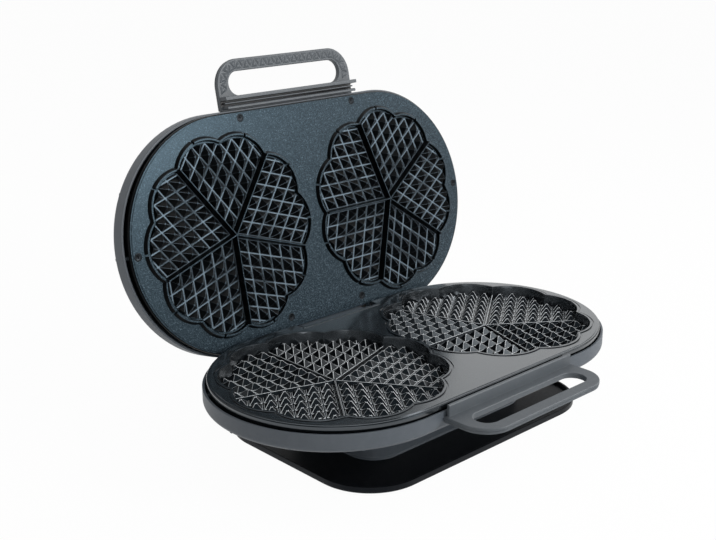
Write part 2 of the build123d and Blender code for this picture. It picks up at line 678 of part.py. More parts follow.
def pedestal_screw_spots():
    """Where the tray is screwed up into the pedestal's corner pillars."""
    x = PEDESTAL_LENGTH / 2 - PEDESTAL_WALL - 1.6 * BOSS_RADIUS
    y = PEDESTAL_DEPTH / 2 - PEDESTAL_WALL - 1.6 * BOSS_RADIUS
    return [(sx * x, PEDESTAL_BACK_SHIFT + sy * y) for sx in (-1, 1) for sy in (-1, 1)]


def pedestal_top_screw_spots():
    """Where the casing's floor is screwed down to the pedestal's roof, beside the wire way."""
    x = WIRE_WAY[0] / 2 + BOSS_RADIUS
    y = WIRE_WAY[1] / 2
    return [(sx * x, PEDESTAL_BACK_SHIFT + sy * y) for sx in (-1, 1) for sy in (-1, 1)]


def base_tray():
    """The foot tray: a thin floor, a raised rim, and pockets below for the feet and screws."""
    block = extrude(tray_outline(0), TRAY_RIM)
    low = block.faces().sort_by(Axis.Z)[0].outer_wire().edges()
    block = chamfer(low, PLATE_EDGE_ROUND)
    tray = block - Pos(0, 0, TRAY_FLOOR) * extrude(tray_outline(TRAY_WALL), TRAY_RIM)
    cuts = [Pos(x, y, 0) * extrude(Circle(FOOT_RADIUS), FOOT_SINK) for x, y in foot_spots()]
    for x, y in pedestal_screw_spots():
        cuts.append(Pos(x, y, 0) * extrude(Circle(SCREW_RADIUS + FIT), TRAY_FLOOR))
        cuts.append(Pos(x, y, 0) * extrude(Circle(SCREW_HEAD_RADIUS + FIT), SCREW_SINK))
    return Pos(0, 0, TRAY_BOTTOM) * (tray - cuts)


def foot_pads():
    """Four soft feet let into the tray's underside."""
    pads = [Pos(x, y, 0) * extrude(Circle(FOOT_RADIUS), FOOT_HEIGHT + FOOT_SINK) for x, y in foot_spots()]
    return Compound(pads)


def pedestal():
    """The hollow pedestal: walls with a small toe, a roof with the wire way, four pillars."""
    body = extrude(pedestal_outline(0), PEDESTAL_HEIGHT)
    toe = extrude(pedestal_outline(-PEDESTAL_TOE), PEDESTAL_TOE)
    toe = chamfer(toe.faces().sort_by(Axis.Z)[-1].outer_wire().edges(), PEDESTAL_TOE * 0.9)
    hollow = extrude(pedestal_outline(PEDESTAL_WALL), PEDESTAL_HEIGHT - PEDESTAL_WALL)
    pillars = [Pos(x, y, 0) * extrude(Circle(BOSS_RADIUS), PEDESTAL_HEIGHT - PEDESTAL_WALL / 2)
               for x, y in pedestal_screw_spots()]
    bosses = [Pos(x, y, PEDESTAL_HEIGHT - 4 * PEDESTAL_WALL) * extrude(Circle(BOSS_RADIUS), 4 * PEDESTAL_WALL)
              for x, y in pedestal_top_screw_spots()]
    shell = (body + toe) - hollow + pillars + bosses
    cuts = [Pos(0, PEDESTAL_BACK_SHIFT, PEDESTAL_HEIGHT / 2) * extrude(
        Rectangle(*WIRE_WAY), PEDESTAL_HEIGHT)]
    for x, y in pedestal_screw_spots():
        cuts.append(Pos(x, y, 0) * extrude(Circle(SCREW_RADIUS), PEDESTAL_HEIGHT / 2))
    for x, y in pedestal_top_screw_spots():
        cuts.append(Pos(x, y, PEDESTAL_HEIGHT - 3 * PEDESTAL_WALL) * extrude(
            Circle(SCREW_RADIUS), PEDESTAL_HEIGHT))
    back = PEDESTAL_BACK_SHIFT + PEDESTAL_DEPTH / 2
    cuts.append(along_y(0, GLAND_HEIGHT, GLAND_RADIUS + FIT, back - 2 * PEDESTAL_WALL, back + EASY))
    return Pos(0, 0, TRAY_TOP) * (shell - cuts)


def pedestal_screws():
    """Four screws from under the tray into the pedestal's pillars."""
    rise = TRAY_BOTTOM + SCREW_SINK
    screws = [Pos(x, y, rise) * screw(PEDESTAL_HEIGHT / 3) for x, y in pedestal_screw_spots()]
    return Compound(screws)


def casing_screws():
    """Four screws from inside the casing down into the pedestal's roof."""
    rise = CASING_BOTTOM + CASING_WALL
    turn = Rot(180, 0, 0)
    length = CASING_WALL + 2 * PEDESTAL_WALL
    screws = [Pos(x, y, rise) * turn * screw(length) for x, y in pedestal_top_screw_spots()]
    return Compound(screws)


def plate_screws():
    """Four screws from under the casing into the lower plate."""
    rise = CASING_BOTTOM + SCREW_HEAD + EASY
    length = SLAB_BOTTOM - rise + PLATE_RIM / 2
    return Compound([Pos(x, y, rise) * screw(length) for x, y in plate_screw_spots()])


def lid_screws():
    """Six screws through the upper plate into the lid's casing, drawn shut."""
    rise = SHUT_FACE + SCREW_HEAD
    length = PLATE_RIM + (LID_TOP - SHUT_SLAB_TOP) / 2
    return Compound([Pos(x, y, rise) * screw(length) for x, y in lid_screw_spots()])


def cord_gland():
    """The bush in the pedestal's back wall that the supply lead would pass through."""
    back = PEDESTAL_BACK_SHIFT + PEDESTAL_DEPTH / 2
    z = TRAY_TOP + GLAND_HEIGHT
    body = along_y(0, z, GLAND_RADIUS, back - GLAND_LENGTH / 2, back + EASY)
    flange = along_y(0, z, GLAND_FLANGE, back, back + GLAND_LENGTH / 4)
    nut = along_y(0, z, GLAND_FLANGE, back - GLAND_LENGTH / 2, back - PEDESTAL_WALL)
    bore = along_y(0, z, GLAND_BORE, back - GLAND_LENGTH, back + GLAND_LENGTH)
    return body + flange + nut - bore


def terminal_block():
    """The block on the tray's floor where the lead joins the wiring."""
    length, depth, height = TERMINAL_SIZE
    block = extrude(Rectangle(length, depth), height)
    ways = [Pos(x * length / 3, 0, height / 2) * extrude(Circle(depth / 6), height) for x in (-1, 0, 1)]
    return Pos(0, PEDESTAL_BACK_SHIFT - depth, TRAY_TOP) * (block - ways)


def heater_path():
    """One element's line: a loop, open at the inner side, with two legs."""
    start = polar(HEATER_LOOP, HEATER_GAP_ANGLE)
    middle = polar(HEATER_LOOP, 180)
    end = polar(HEATER_LOOP, -HEATER_GAP_ANGLE)
    return ThreePointArc(start, middle, end)


def heater(side):
    """One tubular element, drawn about z = 0, its gap towards the middle of the iron."""
    path = heater_path()
    across = Plane(origin=path @ 0, z_dir=path % 0)
    tube = sweep(across * RegularPolygon(HEATER_TUBE, HEATER_SIDES), path=path)
    for t, sign in ((0, 1), (1, -1)):
        spot = path @ t
        leg = Pos(spot.X, spot.Y, 0) * Box(HEATER_LEG / 3, HEATER_TUBE, HEATER_TUBE,
                                           align=(Align.MIN, Align.CENTER, Align.CENTER))
        tube = tube + leg
    return tube if side < 0 else Rot(0, 0, 180) * tube


def heaters(z):
    """The two elements of one iron, one under or over each waffle."""
    return Compound([Pos(x, 0, z) * heater(-1 if x < 0 else 1) for x, _ in WAFFLES])


def clamp():
    """A strap over the element, its feet at z = 0 and its arch above."""
    bow = HEATER_LOOP - (HEATER_LOOP ** 2 - CLAMP_WIDTH ** 2 / 4) ** 0.5
    inner = HEATER_TUBE + bow + FIT
    outer = inner + CLAMP_WALL
    rise = 2 * HEATER_TUBE + 2 * FIT
    arch = Rectangle(2 * outer, rise + CLAMP_WALL, align=(Align.CENTER, Align.MIN))
    way = Rectangle(2 * inner, rise, align=(Align.CENTER, Align.MIN))
    feet = Rectangle(2 * (outer + CLAMP_FOOT), CLAMP_WALL, align=(Align.CENTER, Align.MIN))
    profile = (arch + feet) - way
    plane = Plane(origin=(0, 0, 0), x_dir=(1, 0, 0), z_dir=(0, -1, 0))
    return extrude(plane * profile, CLAMP_WIDTH / 2, both=True)


def clamps(z, upward):
    """The straps that press both elements to their plate."""
    straps = []
    for x, _ in WAFFLES:
        outward = 180 if x < 0 else 0
        for k in range(CLAMPS):
            angle = outward + (k - (CLAMPS - 1) / 2) * 90.0
            cx, cy = polar(HEATER_LOOP, angle)
            strap = clamp() if upward else Rot(180, 0, 0) * clamp()
            straps.append(Pos(x + cx, cy, z) * Rot(0, 0, angle) * strap)
    return Compound(straps)


def heat_shield():
    """A thin sheet over the casing's floor, with a window for the wires, floor at z = 0."""
    sheet = Pos(0, PLATE_BACK_SHIFT) * SlotOverall(
        PLATE_LENGTH - 4 * SHIELD_MARGIN, 2 * (PLATE_SCREW_SPOT[1] - BOSS_RADIUS - EASY - PLATE_BACK_SHIFT))
    window = Pos(0, PEDESTAL_BACK_SHIFT) * Rectangle(WIRE_WAY[0] + 4 * BOSS_RADIUS, WIRE_WAY[1] + 4 * BOSS_RADIUS)
    return extrude(sheet - window, SHIELD_WALL)


def lower_heat_shield():
    """The shield on the lower casing's floor."""
    return Pos(0, 0, CASING_BOTTOM + CASING_WALL) * heat_shield()


def upper_heat_shield():
    """The shield over the lid's elements, drawn shut, with a window for the controls."""
    rise = SHUT_SLAB_TOP + 2 * HEATER_TUBE + CLAMP_WALL + 4 * FIT + NEAR
    length, depth, _ = THERMOSTAT_SIZE
    window = Pos(0, -DIAL_FRONT, -EASY) * extrude(Rectangle(length + 2 * EASY, depth + 2 * EASY), 2 * EASY)
    legs = []
    for x, _ in WAFFLES:
        legs.append(Pos(x, 0, SHUT_SLAB_TOP - rise) * extrude(Circle(BOSS_RADIUS), rise - SHUT_SLAB_TOP))
    return Pos(0, 0, rise) * (heat_shield() - window + legs)


def thermal_fuse():
    """A fuse in its sleeve, lying along X on z = 0."""
    plane = Plane(origin=(-FUSE_LENGTH / 2, 0, FUSE_RADIUS), x_dir=(0, 1, 0), z_dir=(1, 0, 0))
    tube = extrude(plane * Circle(FUSE_RADIUS), FUSE_LENGTH)
    tabs = Box(FUSE_LENGTH * 2, FUSE_RADIUS, FUSE_RADIUS / 2, align=(Align.CENTER, Align.CENTER, Align.MIN))
    return tube + tabs


def lower_fuse():
    """The lower iron's fuse, under the plate between the two pans."""
    return Pos(0, -PLATE_SCREW_SPOT[1] + 3 * BOSS_RADIUS, SLAB_BOTTOM) * Rot(180, 0, 0) * thermal_fuse()


def upper_fuse():
    """The lid's fuse, on the back of its plate, drawn shut."""
    return Pos(0, LID_SCREW_BACK[1] - 3 * BOSS_RADIUS, SHUT_SLAB_TOP) * thermal_fuse()


def thermostat():
    """The switch on the back of the lid's plate, with its shaft up through the cover."""
    length, depth, height = THERMOSTAT_SIZE
    body = extrude(Rectangle(length, depth), height)
    neck = extrude(Circle(2 * SHAFT_RADIUS), height + SCREW_HEAD)
    shaft = extrude(Circle(SHAFT_RADIUS), LID_TOP - SHUT_SLAB_TOP + DIAL_HEIGHT / 2)
    return Pos(0, -DIAL_FRONT, SHUT_SLAB_TOP) * (body + neck + shaft)


def dial():
    """The fluted dial on the lid's top, drawn shut, bored for the shaft."""
    skirt_disc = extrude(Circle(DIAL_RADIUS), DIAL_SKIRT)
    grip = extrude(Circle(DIAL_RADIUS * 0.8), DIAL_HEIGHT)
    grip = chamfer(grip.faces().sort_by(Axis.Z)[-1].edges(), EASY)
    flutes = [Rot(0, 0, k * 360.0 / DIAL_FLUTES) * Pos(DIAL_RADIUS * 0.8 + EASY, 0, DIAL_SKIRT)
              * extrude(Circle(1.6 * EASY), DIAL_HEIGHT) for k in range(DIAL_FLUTES)]
    pointer = Pos(0, DIAL_RADIUS * 0.55, DIAL_HEIGHT - EASY / 2) * extrude(
        Rectangle(EASY, DIAL_RADIUS * 0.4), EASY)
    bore = extrude(Circle(SHAFT_RADIUS + FIT), DIAL_HEIGHT / 2 + NEAR)
    return Pos(0, -DIAL_FRONT, LID_TOP + NEAR) * (skirt_disc + grip - flutes - pointer - bore)


def lamp(side):
    """A lamp window in the lid's top, drawn shut."""
    deep = 2 * CASING_WALL
    stem = extrude(Circle(LAMP_RADIUS), deep + LAMP_PROUD)
    stem = chamfer(stem.faces().sort_by(Axis.Z)[-1].edges(), LAMP_PROUD * 0.6)
    return Pos(side * LAMP_SPREAD / 2, -LAMP_FRONT, LID_TOP - deep) * stem


def lamp_board():
    """The small board that the lamps stand on, drawn shut, on two posts from the plate."""
    length, depth, thick = BOARD_SIZE
    rise = LID_TOP - 2 * CASING_WALL - thick
    board = Pos(0, -LAMP_FRONT, rise) * extrude(Rectangle(length, depth), thick)
    posts = [Pos(sx * length * 0.1, -LAMP_FRONT, SHUT_SLAB_TOP) * extrude(
        Circle(SCREW_RADIUS), rise - SHUT_SLAB_TOP) for sx in (-1, 1)]
    return board + posts


def swing_open(shape):
    """Turns a piece of the shut lid about the hinge to where it rests when open."""
    axis = Axis((0, HINGE_Y, HINGE_Z), (1, 0, 0))
    return shape.rotate(axis, -OPEN_ANGLE)


def base_pieces():
    """Every piece that stays still, by name."""
    lower_heater_z = PAN_BOTTOM - HEATER_TUBE - 2 * FIT
    return {
        "foot_pads": foot_pads(),
        "base_tray": base_tray(),
        "pedestal": pedestal(),
        "pedestal_screws": pedestal_screws(),
        "casing_screws": casing_screws(),
        "cord_gland": cord_gland(),
        "terminal_block": terminal_block(),
        "lower_casing": lower_casing(),
        "lower_plate": lower_plate(),
        "lower_plate_screws": plate_screws(),
        "lower_heaters": heaters(lower_heater_z),
        "lower_heater_clamps": clamps(PAN_BOTTOM, False),
        "lower_heat_shield": lower_heat_shield(),
        "lower_thermal_fuse": lower_fuse(),
        "lower_handle": lower_handle(),
        "lower_handle_screws": handle_screws(FACE - handle_screw_height()),
        "hinge_bracket": hinge_bracket(),
        "hinge_bracket_screws": bracket_screws(),
        "hinge_pins": hinge_pins(),
    }


def lid_pieces():
    """Every piece of the lid, drawn shut, by name."""
    upper_heater_z = SHUT_SLAB_TOP + HEATER_TUBE + 2 * FIT
    return {
        "upper_casing": upper_casing(),
        "upper_plate": upper_plate(),
        "upper_plate_screws": lid_screws(),
        "upper_heaters": heaters(upper_heater_z),
        "upper_heater_clamps": clamps(SHUT_SLAB_TOP, True),
        "upper_heat_shield": upper_heat_shield(),
        "upper_thermal_fuse": upper_fuse(),
        "upper_handle": upper_handle(),
        "upper_handle_screws": handle_screws(SHUT_FACE + handle_screw_height()),
        "hinge_block": hinge_block(),
        "hinge_block_screws": block_screws(),
        "thermostat": thermostat(),
        "thermostat_dial": dial(),
        "lamp_board": lamp_board(),
        "power_lamp": lamp(-1),
        "ready_lamp": lamp(1),
    }


def main():
    """Builds every piece, swings the lid open, centres the whole and writes the files."""
    pieces = base_pieces()
    for name, shape in lid_pieces().items():
        pieces[name] = swing_open(shape)
    whole = [shape.bounding_box() for shape in pieces.values()]
    shift = -(min(box.min.Y for box in whole) + max(box.max.Y for box in whole)) / 2
    os.makedirs("parts", exist_ok=True)
    for name, shape in pieces.items():
        placed = Pos(0, shift, 0) * shape
        placed.label = name
        export_step(placed, f"parts/{name}.step")
    print("moved along Y by", round(shift, 4))
    print("hinge axis at y", round(HINGE_Y + shift, 4), "z", round(HINGE_Z, 4))


if __name__ == "__main__":
    main()
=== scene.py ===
"""Double waffle maker with its lid open: finishes, trim, studio and camera around the solids."""

import json
import logging
import math
from dataclasses import dataclass, replace
from enum import Enum
from typing import Any

import bmesh
import bpy
from mathutils import Matrix, Vector

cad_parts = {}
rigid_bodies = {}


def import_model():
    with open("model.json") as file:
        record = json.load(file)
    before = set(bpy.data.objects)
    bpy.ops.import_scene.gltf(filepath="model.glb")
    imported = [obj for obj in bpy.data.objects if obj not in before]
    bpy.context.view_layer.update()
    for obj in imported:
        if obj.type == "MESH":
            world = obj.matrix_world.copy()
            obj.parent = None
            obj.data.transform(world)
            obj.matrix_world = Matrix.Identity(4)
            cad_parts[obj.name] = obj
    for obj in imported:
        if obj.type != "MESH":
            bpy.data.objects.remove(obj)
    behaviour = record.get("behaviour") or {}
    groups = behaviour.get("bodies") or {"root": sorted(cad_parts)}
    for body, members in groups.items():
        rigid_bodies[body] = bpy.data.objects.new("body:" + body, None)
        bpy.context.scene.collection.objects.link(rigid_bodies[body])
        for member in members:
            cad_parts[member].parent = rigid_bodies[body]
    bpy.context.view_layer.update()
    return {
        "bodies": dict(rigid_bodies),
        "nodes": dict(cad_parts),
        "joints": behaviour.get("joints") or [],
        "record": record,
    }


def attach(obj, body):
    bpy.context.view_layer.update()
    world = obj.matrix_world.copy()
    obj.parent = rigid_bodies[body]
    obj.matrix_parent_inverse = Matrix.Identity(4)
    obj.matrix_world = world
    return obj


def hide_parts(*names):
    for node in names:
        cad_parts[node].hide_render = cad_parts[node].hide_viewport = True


Tree = bpy.types.NodeTree
Socket = bpy.types.NodeSocket
Piece = bpy.types.Object
Place = tuple[float, float, float]
Span = tuple[float, float]

LOG = logging.getLogger("waffle_maker")
MM = 0.001
# Corners nearer to each other than this are one corner.
MERGE_MM = 0.004
# What lies this near to a face is in that face.
FLUSH_MM = 0.01
# Neighbours that turn less than this are one flat face.
FLAT_DEG = 0.6
# Edges of the small new pieces that turn less than this are shaded as round.
SMOOTH_DEG = 30.0
# A face whose normal reaches this far along an axis faces along it.
SQUARE_ON = 0.9
# How far the lid stands open, the way its plate then faces, and the way towards its hinge.
OPEN_DEG = 101.8
LID_FACING = (0.0, -math.sin(math.radians(OPEN_DEG)), -math.cos(math.radians(OPEN_DEG)))
LID_BACKWARD = (0.0, -LID_FACING[2], LID_FACING[1])
# A noise texture seldom leaves this span.
NOISE_SPAN = (0.3, 0.7)


class Body(Enum):
    """The moving bodies of the appliance."""

    BASE = "root"
    LID = "lid"
    DIAL = "dial"


class Slot(Enum):
    """The material slots of the record, listed with each rounded copy."""

    PLATE = "plate_coating"
    HANDLE = "handle_plastic"
    CASING = "casing_plastic"
    TRAY = "tray_plastic"
    STEEL = "steel"


def linear(hex_code: str) -> tuple[float, float, float, float]:
    """Turns an sRGB hex colour into the linear colour that a shader takes.

    Args:
        hex_code: Six hex digits with a leading hash.

    Returns:
        Linear red, green and blue, and an alpha of 1.
    """
    parts = [int(hex_code[k : k + 2], 16) / 255 for k in (1, 3, 5)]
    curve = [c / 12.92 if c <= 0.04045 else ((c + 0.055) / 1.055) ** 2.4 for c in parts]
    return (curve[0], curve[1], curve[2], 1.0)


def per_mm(size_mm: float) -> float:
    """Returns the texture scale that gives a pattern features of this size in millimetres."""
    return 1.0 / (size_mm * MM)


def add_node(
    tree: Tree, kind: str, inputs: dict[Any, Any] | None = None, **settings: Any
) -> bpy.types.Node:
    """Adds a node with its settings, constants and links.

    Args:
        tree: The node tree that takes the node.
        kind: The node's type name.
        inputs: Input name or index to a constant, or to the output socket that feeds it.
        **settings: Properties of the node.

    Returns:
        The new node.
    """
    node = tree.nodes.new(kind)
    for name, value in settings.items():
        setattr(node, name, value)
    for key, value in (inputs or {}).items():
        if isinstance(value, Socket):
            tree.links.new(value, node.inputs[key])
        else:
            node.inputs[key].default_value = value
    return node


def calculate(tree: Tree, operation: str, *values: Any) -> Socket:
    """Adds a math node for these values and returns its result socket."""
    node = add_node(tree, "ShaderNodeMath", dict(enumerate(values)), operation=operation)
    return node.outputs["Value"]


def along(tree: Tree, vector: Socket, way: Place) -> Socket:
    """Adds a dot product: how far a vector reaches along a way."""
    node = add_node(tree, "ShaderNodeVectorMath", {0: vector, 1: way}, operation="DOT_PRODUCT")
    return node.outputs["Value"]


def band(tree: Tree, where: Socket, way: Place, span_mm: Span) -> Socket:
    """Marks a layer of space.

    Args:
        tree: The node tree that takes the nodes.
        where: Object coordinates.
        way: The way across the layer.
        span_mm: Where the layer begins and ends along that way, in millimetres.

    Returns:
        1 inside the layer, 0 outside.
    """
    low, high = span_mm
    middle, half = (low + high) / 2 * MM, (high - low) / 2 * MM
    return calculate(tree, "COMPARE", along(tree, where, way), middle, half)


def noise(tree: Tree, where: Socket, size_mm: float, detail: float) -> Socket:
    """Adds a noise texture.

    Args:
        tree: The node tree that takes the node.
        where: Object coordinates.
        size_mm: The size of its features.
        detail: How many finer layers it has.

    Returns:
        The noise as a grey.
    """
    sizes = {"Vector": where, "Scale": per_mm(size_mm), "Detail": detail}
    return add_node(tree, "ShaderNodeTexNoise", sizes).outputs["Fac"]


def ramp(tree: Tree, factor: Socket, stops: list[Span]) -> Socket:
    """Adds a grey ramp.

    Args:
        tree: The node tree that takes the node.
        factor: The socket that the ramp reads.
        stops: Pairs of position and grey level, in rising order.

    Returns:
        The ramp's colour socket.
    """
    node = add_node(tree, "ShaderNodeValToRGB", {"Fac": factor})
    marks = node.color_ramp.elements
    while len(marks) < len(stops):
        marks.new(0.5)
    for mark, (place, grey) in zip(marks, stops):
        mark.position = place
        mark.color = (grey, grey, grey, 1.0)
    return node.outputs["Color"]


def blend_colours(tree: Tree, factor: Any, first: Any, second: Any) -> Socket:
    """Adds a colour mix.

    Args:
        tree: The node tree that takes the node.
        factor: How much of the second colour shows.
        first: The colour or socket at 0.
        second: The colour or socket at 1.

    Returns:
        The mixed colour.
    """
    node = add_node(tree, "ShaderNodeMix", {0: factor, 6: first, 7: second}, data_type="RGBA")
    return node.outputs[2]


@dataclass(frozen=True)
class Finish:
    """A surface: what it is made of, and what its making leaves for the eye.

    The base colour drifts softly to a second tone over a few centimetres, a fine grain breaks up
    the gloss, and the same grain gives a low bump.
    """

    name: str
    base: str
    tone: str
    roughness: float
    roughness_spread: float = 0.06
    metallic: float = 0.0
    ior: float = 1.5
    drift_mm: float = 45.0
    drift_detail: float = 3.0
    grain_mm: float = 0.9
    grain_detail: float = 2.0
    grain_depth_mm: float = 0.03
    specular: float = 0.5
    sheen_tint: str = "#ffffff"
    clear_coat: float = 0.0
    coat_roughness: float = 0.18

    def colour(self, tree: Tree, where: Socket) -> Socket:
        """Returns the base colour with a soft drift to the second tone."""
        drift = noise(tree, where, self.drift_mm, self.drift_detail)
        return blend_colours(tree, drift, linear(self.base), linear(self.tone))

    def height(self, tree: Tree, where: Socket) -> Socket:
        """Returns the grain that drives bump and gloss."""
        return noise(tree, where, self.grain_mm, self.grain_detail)

    def dress(self, tree: Tree, shader: bpy.types.Node) -> None:
        """Adds what a finish has beyond colour, grain and gloss: here nothing."""

    def material(self) -> bpy.types.Material:
        """Makes the finish's material on the first call.

        Returns:
            The material.
        """
        made = bpy.data.materials.get(self.name)
        if made:
            return made
        made = bpy.data.materials.new(self.name)
        made.use_nodes = True
        tree = made.node_tree
        tree.nodes.clear()
        where = add_node(tree, "ShaderNodeTexCoord").outputs["Object"]
        height = self.height(tree, where)
        gloss = add_node(
            tree,
            "ShaderNodeMapRange",
            {
                "Value": height,
                "From Min": NOISE_SPAN[0],
                "From Max": NOISE_SPAN[1],
                "To Min": max(0.0, self.roughness - self.roughness_spread),
                "To Max": min(1.0, self.roughness + self.roughness_spread),
            },
        )
        relief = {"Height": height, "Distance": self.grain_depth_mm * MM, "Strength": 1.0}
        shader = add_node(
            tree,
            "ShaderNodeBsdfPrincipled",
            {
                "Base Color": self.colour(tree, where),
                "Roughness": gloss.outputs["Result"],
                "Normal": add_node(tree, "ShaderNodeBump", relief).outputs["Normal"],
                "Metallic": self.metallic,
                "IOR": self.ior,
                "Specular IOR Level": self.specular,
                "Specular Tint": linear(self.sheen_tint),
                "Coat Weight": self.clear_coat,
                "Coat Roughness": self.coat_roughness,
            },
        )
        self.dress(tree, shader)
        add_node(tree, "ShaderNodeOutputMaterial", {"Surface": shader.outputs["BSDF"]})
        made.diffuse_color = linear(self.base)
        return made


@dataclass(frozen=True)
class NonStickCoating(Finish):
    """Sprayed fluoropolymer on cast aluminium: a dark film with fine light flakes in it.

    Coat and a light specular tint lie on the flats that face the plate's way and, as far as the
    wall gloss says, on the upright walls; the steep flanks get a dark tint. The flanks and walls
    are painted nearly black, a painted shade, and the field floors and ridges are painted lighter,
    painted highlights. Turns are the share of the normal along the plate's facing, and heights are
    measured along that facing.
    """

    facing: Place = (0.0, 0.0, 1.0)
    fleck: str = "#8fa5b4"
    fleck_mm: float = 0.65
    fleck_detail: float = 1.0
    fleck_span: Span = (0.56, 0.70)
    fleck_share: float = 0.4
    # Painted shade: the colour of the steep flanks and upright walls, nearly black.
    flank: str = "#050607"
    flank_sheen: str = "#2a2f33"
    flank_turn: Span = (0.84, 0.96)
    wall_gloss: float = 1.0
    wall_turn: Span = (0.2, 0.4)
    # Painted highlight: a pale colour on the ridges, at the turns and heights below.
    ridge: str = "#8494a0"
    ridge_turn: tuple[float, float, float, float] = (0.76, 0.80, 0.86, 0.90)
    ridge_mm: Span = (59.0, 66.0)
    # Painted highlight: the floors between the pyramids, at the heights below, painted lighter than
    # the film.
    field_floor: str = "#65737e"
    field_mm: Span = (59.4, 60.6)

    def turned(self, tree: Tree, stops: list[Span]) -> Socket:
        """Tells how far the surface turns from the way the plate faces.

        Args:
            tree: The material's node tree.
            stops: Pairs of turn and grey level.

        Returns:
            The grey level for the surface's turn.
        """
        normal = add_node(tree, "ShaderNodeTexCoord").outputs["Normal"]
        return ramp(tree, along(tree, normal, self.facing), stops)

    def dress(self, tree: Tree, shader: bpy.types.Node) -> None:
        """Takes sheen and coat from the steep flanks.

        Args:
            tree: The material's node tree.
            shader: The Principled BSDF.
        """
        upright, leaning = self.wall_turn
        steep, level = self.flank_turn
        flatness = self.turned(
            tree, [(upright, self.wall_gloss), (leaning, 0.0), (steep, 0.0), (level, 1.0)]
        )
        coat = calculate(tree, "MULTIPLY", flatness, self.clear_coat)
        tree.links.new(coat, shader.inputs["Coat Weight"])
        sheen = blend_colours(tree, flatness, linear(self.flank_sheen), linear(self.sheen_tint))
        tree.links.new(sheen, shader.inputs["Specular Tint"])

    def colour(self, tree: Tree, where: Socket) -> Socket:
        """Lays flakes, painted highlights on floors and ridges and painted shade on flanks on the
        film.

        Args:
            tree: The material's node tree.
            where: Object coordinates.

        Returns:
            The film's colour.
        """
        flakes = noise(tree, where, self.fleck_mm, self.fleck_detail)
        spots = ramp(tree, flakes, list(zip(self.fleck_span, (0.0, self.fleck_share))))
        field = band(tree, where, self.facing, self.field_mm)
        flatness = self.turned(tree, list(zip(self.flank_turn, (0.0, 1.0))))
        crest = self.turned(tree, list(zip(self.ridge_turn, (0.0, 1.0, 1.0, 0.0))))
        rubbed = calculate(tree, "MULTIPLY", crest, band(tree, where, self.facing, self.ridge_mm))
        film = super().colour(tree, where)
        film = blend_colours(tree, spots, film, linear(self.fleck))
        # Painted highlight: the field floors take a lighter colour.
        film = blend_colours(tree, field, film, linear(self.field_floor))
        # Painted shade: surfaces turned away from the plate's way go nearly black.
        film = blend_colours(tree, flatness, linear(self.flank), film)
        # Painted highlight: the ridges go pale.
        return blend_colours(tree, rubbed, film, linear(self.ridge))


@dataclass(frozen=True)
class MouldedPlastic(Finish):
    """Injection-moulded ABS or PBT: an even colour with the tool's spark-eroded grain."""

    rubbed: str = "#8d939a"
    rub: float = 0.05
    rub_mm: float = 7.0
    rub_detail: float = 5.0
    rub_span: Span = (0.45, 0.8)

    def colour(self, tree: Tree, where: Socket) -> Socket:
        """Lays faint patches of wear over the plastic's colour.

        Args:
            tree: The material's node tree.
            where: Object coordinates.

        Returns:
            The worn colour.
        """
        patches = noise(tree, where, self.rub_mm, self.rub_detail)
        worn = ramp(tree, patches, list(zip(self.rub_span, (0.0, self.rub))))
        return blend_colours(tree, worn, super().colour(tree, where), linear(self.rubbed))


@dataclass(frozen=True)
class ChannelledPlastic(MouldedPlastic):
    """The grips' plastic, nearly black at the bottom of the channel behind the lid's ledge.

    The dark band stands in for the shade that the photograph shows there.
    """

    shade: str = "#0b0d10"
    across_mm: Span = (-294.2, -289.1)
    deep_mm: Span = (-92.6, -88.6)

    def colour(self, tree: Tree, where: Socket) -> Socket:
        """Darkens the bottom of the channel.

        Args:
            tree: The material's node tree.
            where: Object coordinates.

        Returns:
            The plastic's colour.
        """
        across = band(tree, where, LID_BACKWARD, self.across_mm)
        deep = band(tree, where, LID_FACING, self.deep_mm)
        inside = calculate(tree, "MULTIPLY", across, deep)
        return blend_colours(tree, inside, super().colour(tree, where), linear(self.shade))


@dataclass(frozen=True)
class DrawnMetal(Finish):
    """Rolled, drawn or turned metal: streaks along one axis from its making."""

    streak_mm: float = 0.6
    stretch: Place = (0.05, 1.0, 1.0)

    def height(self, tree: Tree, where: Socket) -> Socket:
        """Returns streaks drawn out along the direction of working."""
        drawn = add_node(tree, "ShaderNodeMapping", {"Vector": where, "Scale": self.stretch})
        return noise(tree, drawn.outputs["Vector"], self.streak_mm, self.grain_detail)


@dataclass(frozen=True)
class WovenSleeve(Finish):
    """Braided glass-fibre sleeve: crossing bundles seen as small raised diamonds.

    The wave node runs through 20 radians in each unit, so with this many bundles to a unit one
    light band shows for every second bundle.
    """

    bundle_mm: float = 1.1
    bundles: float = 6.3

    def height(self, tree: Tree, where: Socket) -> Socket:
        """Crosses two sets of bundles.

        Args:
            tree: The material's node tree.
            where: Object coordinates.

        Returns:
            The braid's height.
        """
        sizes = {"Vector": where, "Scale": per_mm(self.bundle_mm) / self.bundles}
        waves = [
            add_node(
                tree, "ShaderNodeTexWave", sizes, wave_type="BANDS", bands_direction=direction
            )
            for direction in ("X", "Y")
        ]
        return calculate(tree, "MAXIMUM", *(wave.outputs["Fac"] for wave in waves))


@dataclass(frozen=True)
class LampLens(Finish):
    """Clear-tinted polycarbonate: light passes in and scatters a little."""

    clearness: float = 0.6

    def dress(self, tree: Tree, shader: bpy.types.Node) -> None:
        """Lets part of the light through the lens."""
        shader.inputs["Transmission Weight"].default_value = self.clearness


